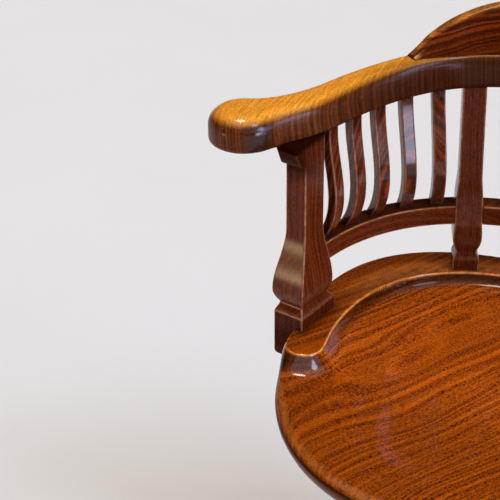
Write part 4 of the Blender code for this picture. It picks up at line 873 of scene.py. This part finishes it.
# where the thumb lies, inside the paddle, the wood is stained and polished
thumb, thumb_r = Vector((0.256, -0.042)), 0.020
for hand, side in hands:
    bm = bmesh.new()
    wrap(bm, lambda i, j: (arm_rows[j][i].x * side, arm_rows[j][i].y, arm_low + arm_steps[j][1]),
         len(arm_line), len(arm_steps) - 1)
    layer, stain = bm.verts.layers.float.new("grime_and_shade"), bm.verts.layers.float.new("stain_and_shade")
    for v in bm.verts:
        plan, h = Vector((abs(v.co.x), v.co.y)), v.co.z - arm_low
        v[stain] = 0.9 * ease(1.3 - (plan - thumb).length / thumb_r) * ease((0.035 - h) / 0.008)
        # painted shade under the arm; darker along its inner edge behind
        inner = min((plan - p).length for p in arm_inner[::3])
        v[layer] = 0.85 * ease((0.004 - h) / 0.004)
        v[layer] = max(v[layer], 0.6 * ease(1 - inner / 0.034) * ease((0.225 - plan.x) / 0.07))
    piece(f"arm_bow_{hand}", bm, arm_oak, "seat", [f"arm_{hand}"])


# Crest: a low back rail screwed on over the joint of the arms, swept along the bow, leaning back and falling
# away at both ends.
crest_mid = [(a + b) / 2 for a, b in zip(arm_inner[::2], arm_outer)]
crest_whole = crest_mid + [Vector((-p.x, p.y)) for p in crest_mid[-2::-1]]
crest_reach, crest_end, crest_rise, crest_lean = 0.160, 0.008, 0.050, 0.008
crest_foot = rim_z + arm_under + arm_thick + fit
crest_rows = []
for k, spot in enumerate(crest_whole):
    off = abs(spot.x)
    if off > crest_reach:
        continue
    way = (crest_whole[k + 1] - crest_whole[k - 1]).normalized()
    out = Vector((way.y, -way.x))
    tall = crest_end + crest_rise * math.cos(math.pi / 2 * min(off / crest_reach, 1) ** 1.6)
    tall *= 1 - 0.75 * max(0, (off - 0.140) / 0.020) ** 2
    lean = crest_lean * tall / (crest_end + crest_rise)
    soft = min(0.007, tall * 0.45)
    half = 0.0165 - 0.0085 * ease((off - 0.115) / 0.045)
    # up the front, over the rounded top and down the back: how far out, and how high
    row = [(-half, 0), (-half * 0.99, tall * 0.12), (lean - half * 0.68, tall * 0.55)]
    row += [(lean - half * 0.6 + soft * (1 - math.cos(a)), tall - soft * (1 - math.sin(a)))
            for a in np.linspace(0, math.pi / 2, 6)]
    row += [(lean + half * 0.6 - soft * (1 - math.sin(a)), tall - soft * (1 - math.cos(a)))
            for a in np.linspace(0, math.pi / 2, 6)]
    row += [(lean + half * 0.7, tall * 0.55), (half * 0.99, tall * 0.12), (half, 0)]
    crest_rows.append([(*(spot + out * far), crest_foot + z) for far, z in row])
bm = bmesh.new()
wrap(bm, lambda i, j: crest_rows[j][i], len(crest_rows[0]), len(crest_rows) - 1)
# the arms' oak in a plainer cut: brown-gold bands along it, darker on its faces than on its top, partly by
# painted shade
crest_oak = oak("crest_oak_varnished", "#D88A28", "#9A5414", "#4A220A", (0, 0, 0), (0.4, 0.2), 4, pores=0.7,
                side="#8A5A48")
piece("crest_swept", bm, crest_oak, "seat", ["crest_rail"])


# Floor and studio: a pale painted floor without an edge. Soft suns from above and in front light it evenly,
# and cool windows to the right and behind and a small warm one in front put the gleams on the varnish.

# rolled matt paint: an even warm white with a faint mottle 250 mm across and no gleam
floor_paint = bpy.data.materials.new("floor_paint")
floor_paint.use_nodes = True
tree = floor_paint.node_tree
place = add(tree, "TexCoord", {}).outputs["Object"]
roller = add(tree, "TexNoise", {"Vector": place, "Scale": 1000 / 250, "Detail": 3.0}).outputs["Fac"]
tint = add(tree, "Mix", {0: roller, 6: linear("#E2DFDB"), 7: linear("#E6E3DF")}, data_type="RGBA").outputs[2]
tree.links.new(tint, tree.nodes["Principled BSDF"].inputs["Base Color"])
tree.nodes["Principled BSDF"].inputs["Roughness"].default_value = 0.9
floor_mesh = bpy.data.meshes.new("floor")
bm = bmesh.new()
bmesh.ops.create_grid(bm, x_segments=1, y_segments=1, size=40)
bm.to_mesh(floor_mesh)
bm.free()
floor_mesh.materials.append(floor_paint)
floor = bpy.data.objects.new("floor", floor_mesh)
bpy.context.scene.collection.objects.link(floor)


def lamp(name, place, aim, size, fan, power, colour):
    """A soft light as wide and as high as its size, facing a point, gridded to a fan of degrees."""
    data = bpy.data.lights.new(name, "AREA")
    data.shape, data.size, data.size_y, data.energy = "RECTANGLE", *size, power
    data.spread = math.radians(fan)
    data.color = linear(colour)[:3]
    made = bpy.data.objects.new(name, data)
    made.location = place
    made.rotation_euler = (Vector(aim) - Vector(place)).to_track_quat("-Z", "Y").to_euler()
    bpy.context.scene.collection.objects.link(made)


def sun(name, aim, spread, power, colour):
    """A distant soft light that comes from a direction and lights the whole floor evenly."""
    data = bpy.data.lights.new(name, "SUN")
    data.angle, data.energy, data.color = math.radians(spread), power, linear(colour)[:3]
    made = bpy.data.objects.new(name, data)
    made.rotation_euler = Vector(aim).to_track_quat("Z", "Y").to_euler()
    bpy.context.scene.collection.objects.link(made)


sun("overhead", (-0.14, 0.08, 0.985), 16, 1.15, "#FFFAF2")
sun("top", (0.05, -0.10, 0.99), 80, 0.55, "#FFFAF4")
sun("front_top", (0.35, -0.45, 0.82), 90, 0.96, "#FFFAF4")
sun("front_left", (-0.62, -0.60, 0.50), 30, 0.06, "#FFF0D8")
sun("right_fill", (0.86, -0.36, 0.36), 40, 0.15, "#FFF4E8")
sun("cool_overhead", (0.55, -0.16, 0.82), 16, 0.75, "#C8D8FF")
sun("cool_side", (0.91, -0.16, 0.38), 22, 0.85, "#BCCEFF")
sun("cool_back", (0.57, 0.78, 0.27), 20, 0.075, "#B8CCFF")
lamp("front_window", (-1.60, -1.45, 0.27), (-0.22, 0.01, 0.44), (0.24, 0.27), 36, 0.28, "#FFD9A0")
lamp("side_window", (1.70, 0.05, 0.95), (-0.22, 0.05, 0.66), (1.1, 1.4), 60, 1.58, "#D0DCFF")
lamp("corner_window", (1.63, -0.78, 0.67), (-0.148, 0.141, 0.63), (0.7, 0.6), 50, 1.0, "#D0DCFF")
# the room itself is kept dim, since a pale one would lie over the varnish as a haze
world = bpy.data.worlds.new("studio")
bpy.context.scene.world = world
world.use_nodes = True
room = world.node_tree.nodes["Background"].inputs
room["Color"].default_value, room["Strength"].default_value = linear("#E8E7E5"), 0.045
# the camera looks down on the left arm from the front right
camera = bpy.data.objects.new("camera", bpy.data.cameras.new("camera"))
camera.data.lens = 109.3
camera.location = (0.2657, -1.3645, 1.3895)
aim = Matrix.Rotation(math.radians(22), 3, "Z") @ Matrix.Rotation(math.radians(59.71), 3, "X")
camera.rotation_euler = (aim @ Matrix.Rotation(math.radians(-0.53), 3, "Z")).to_euler()
bpy.context.scene.collection.objects.link(camera)
bpy.context.scene.camera = camera
bpy.context.scene.view_settings.view_transform = "Standard"
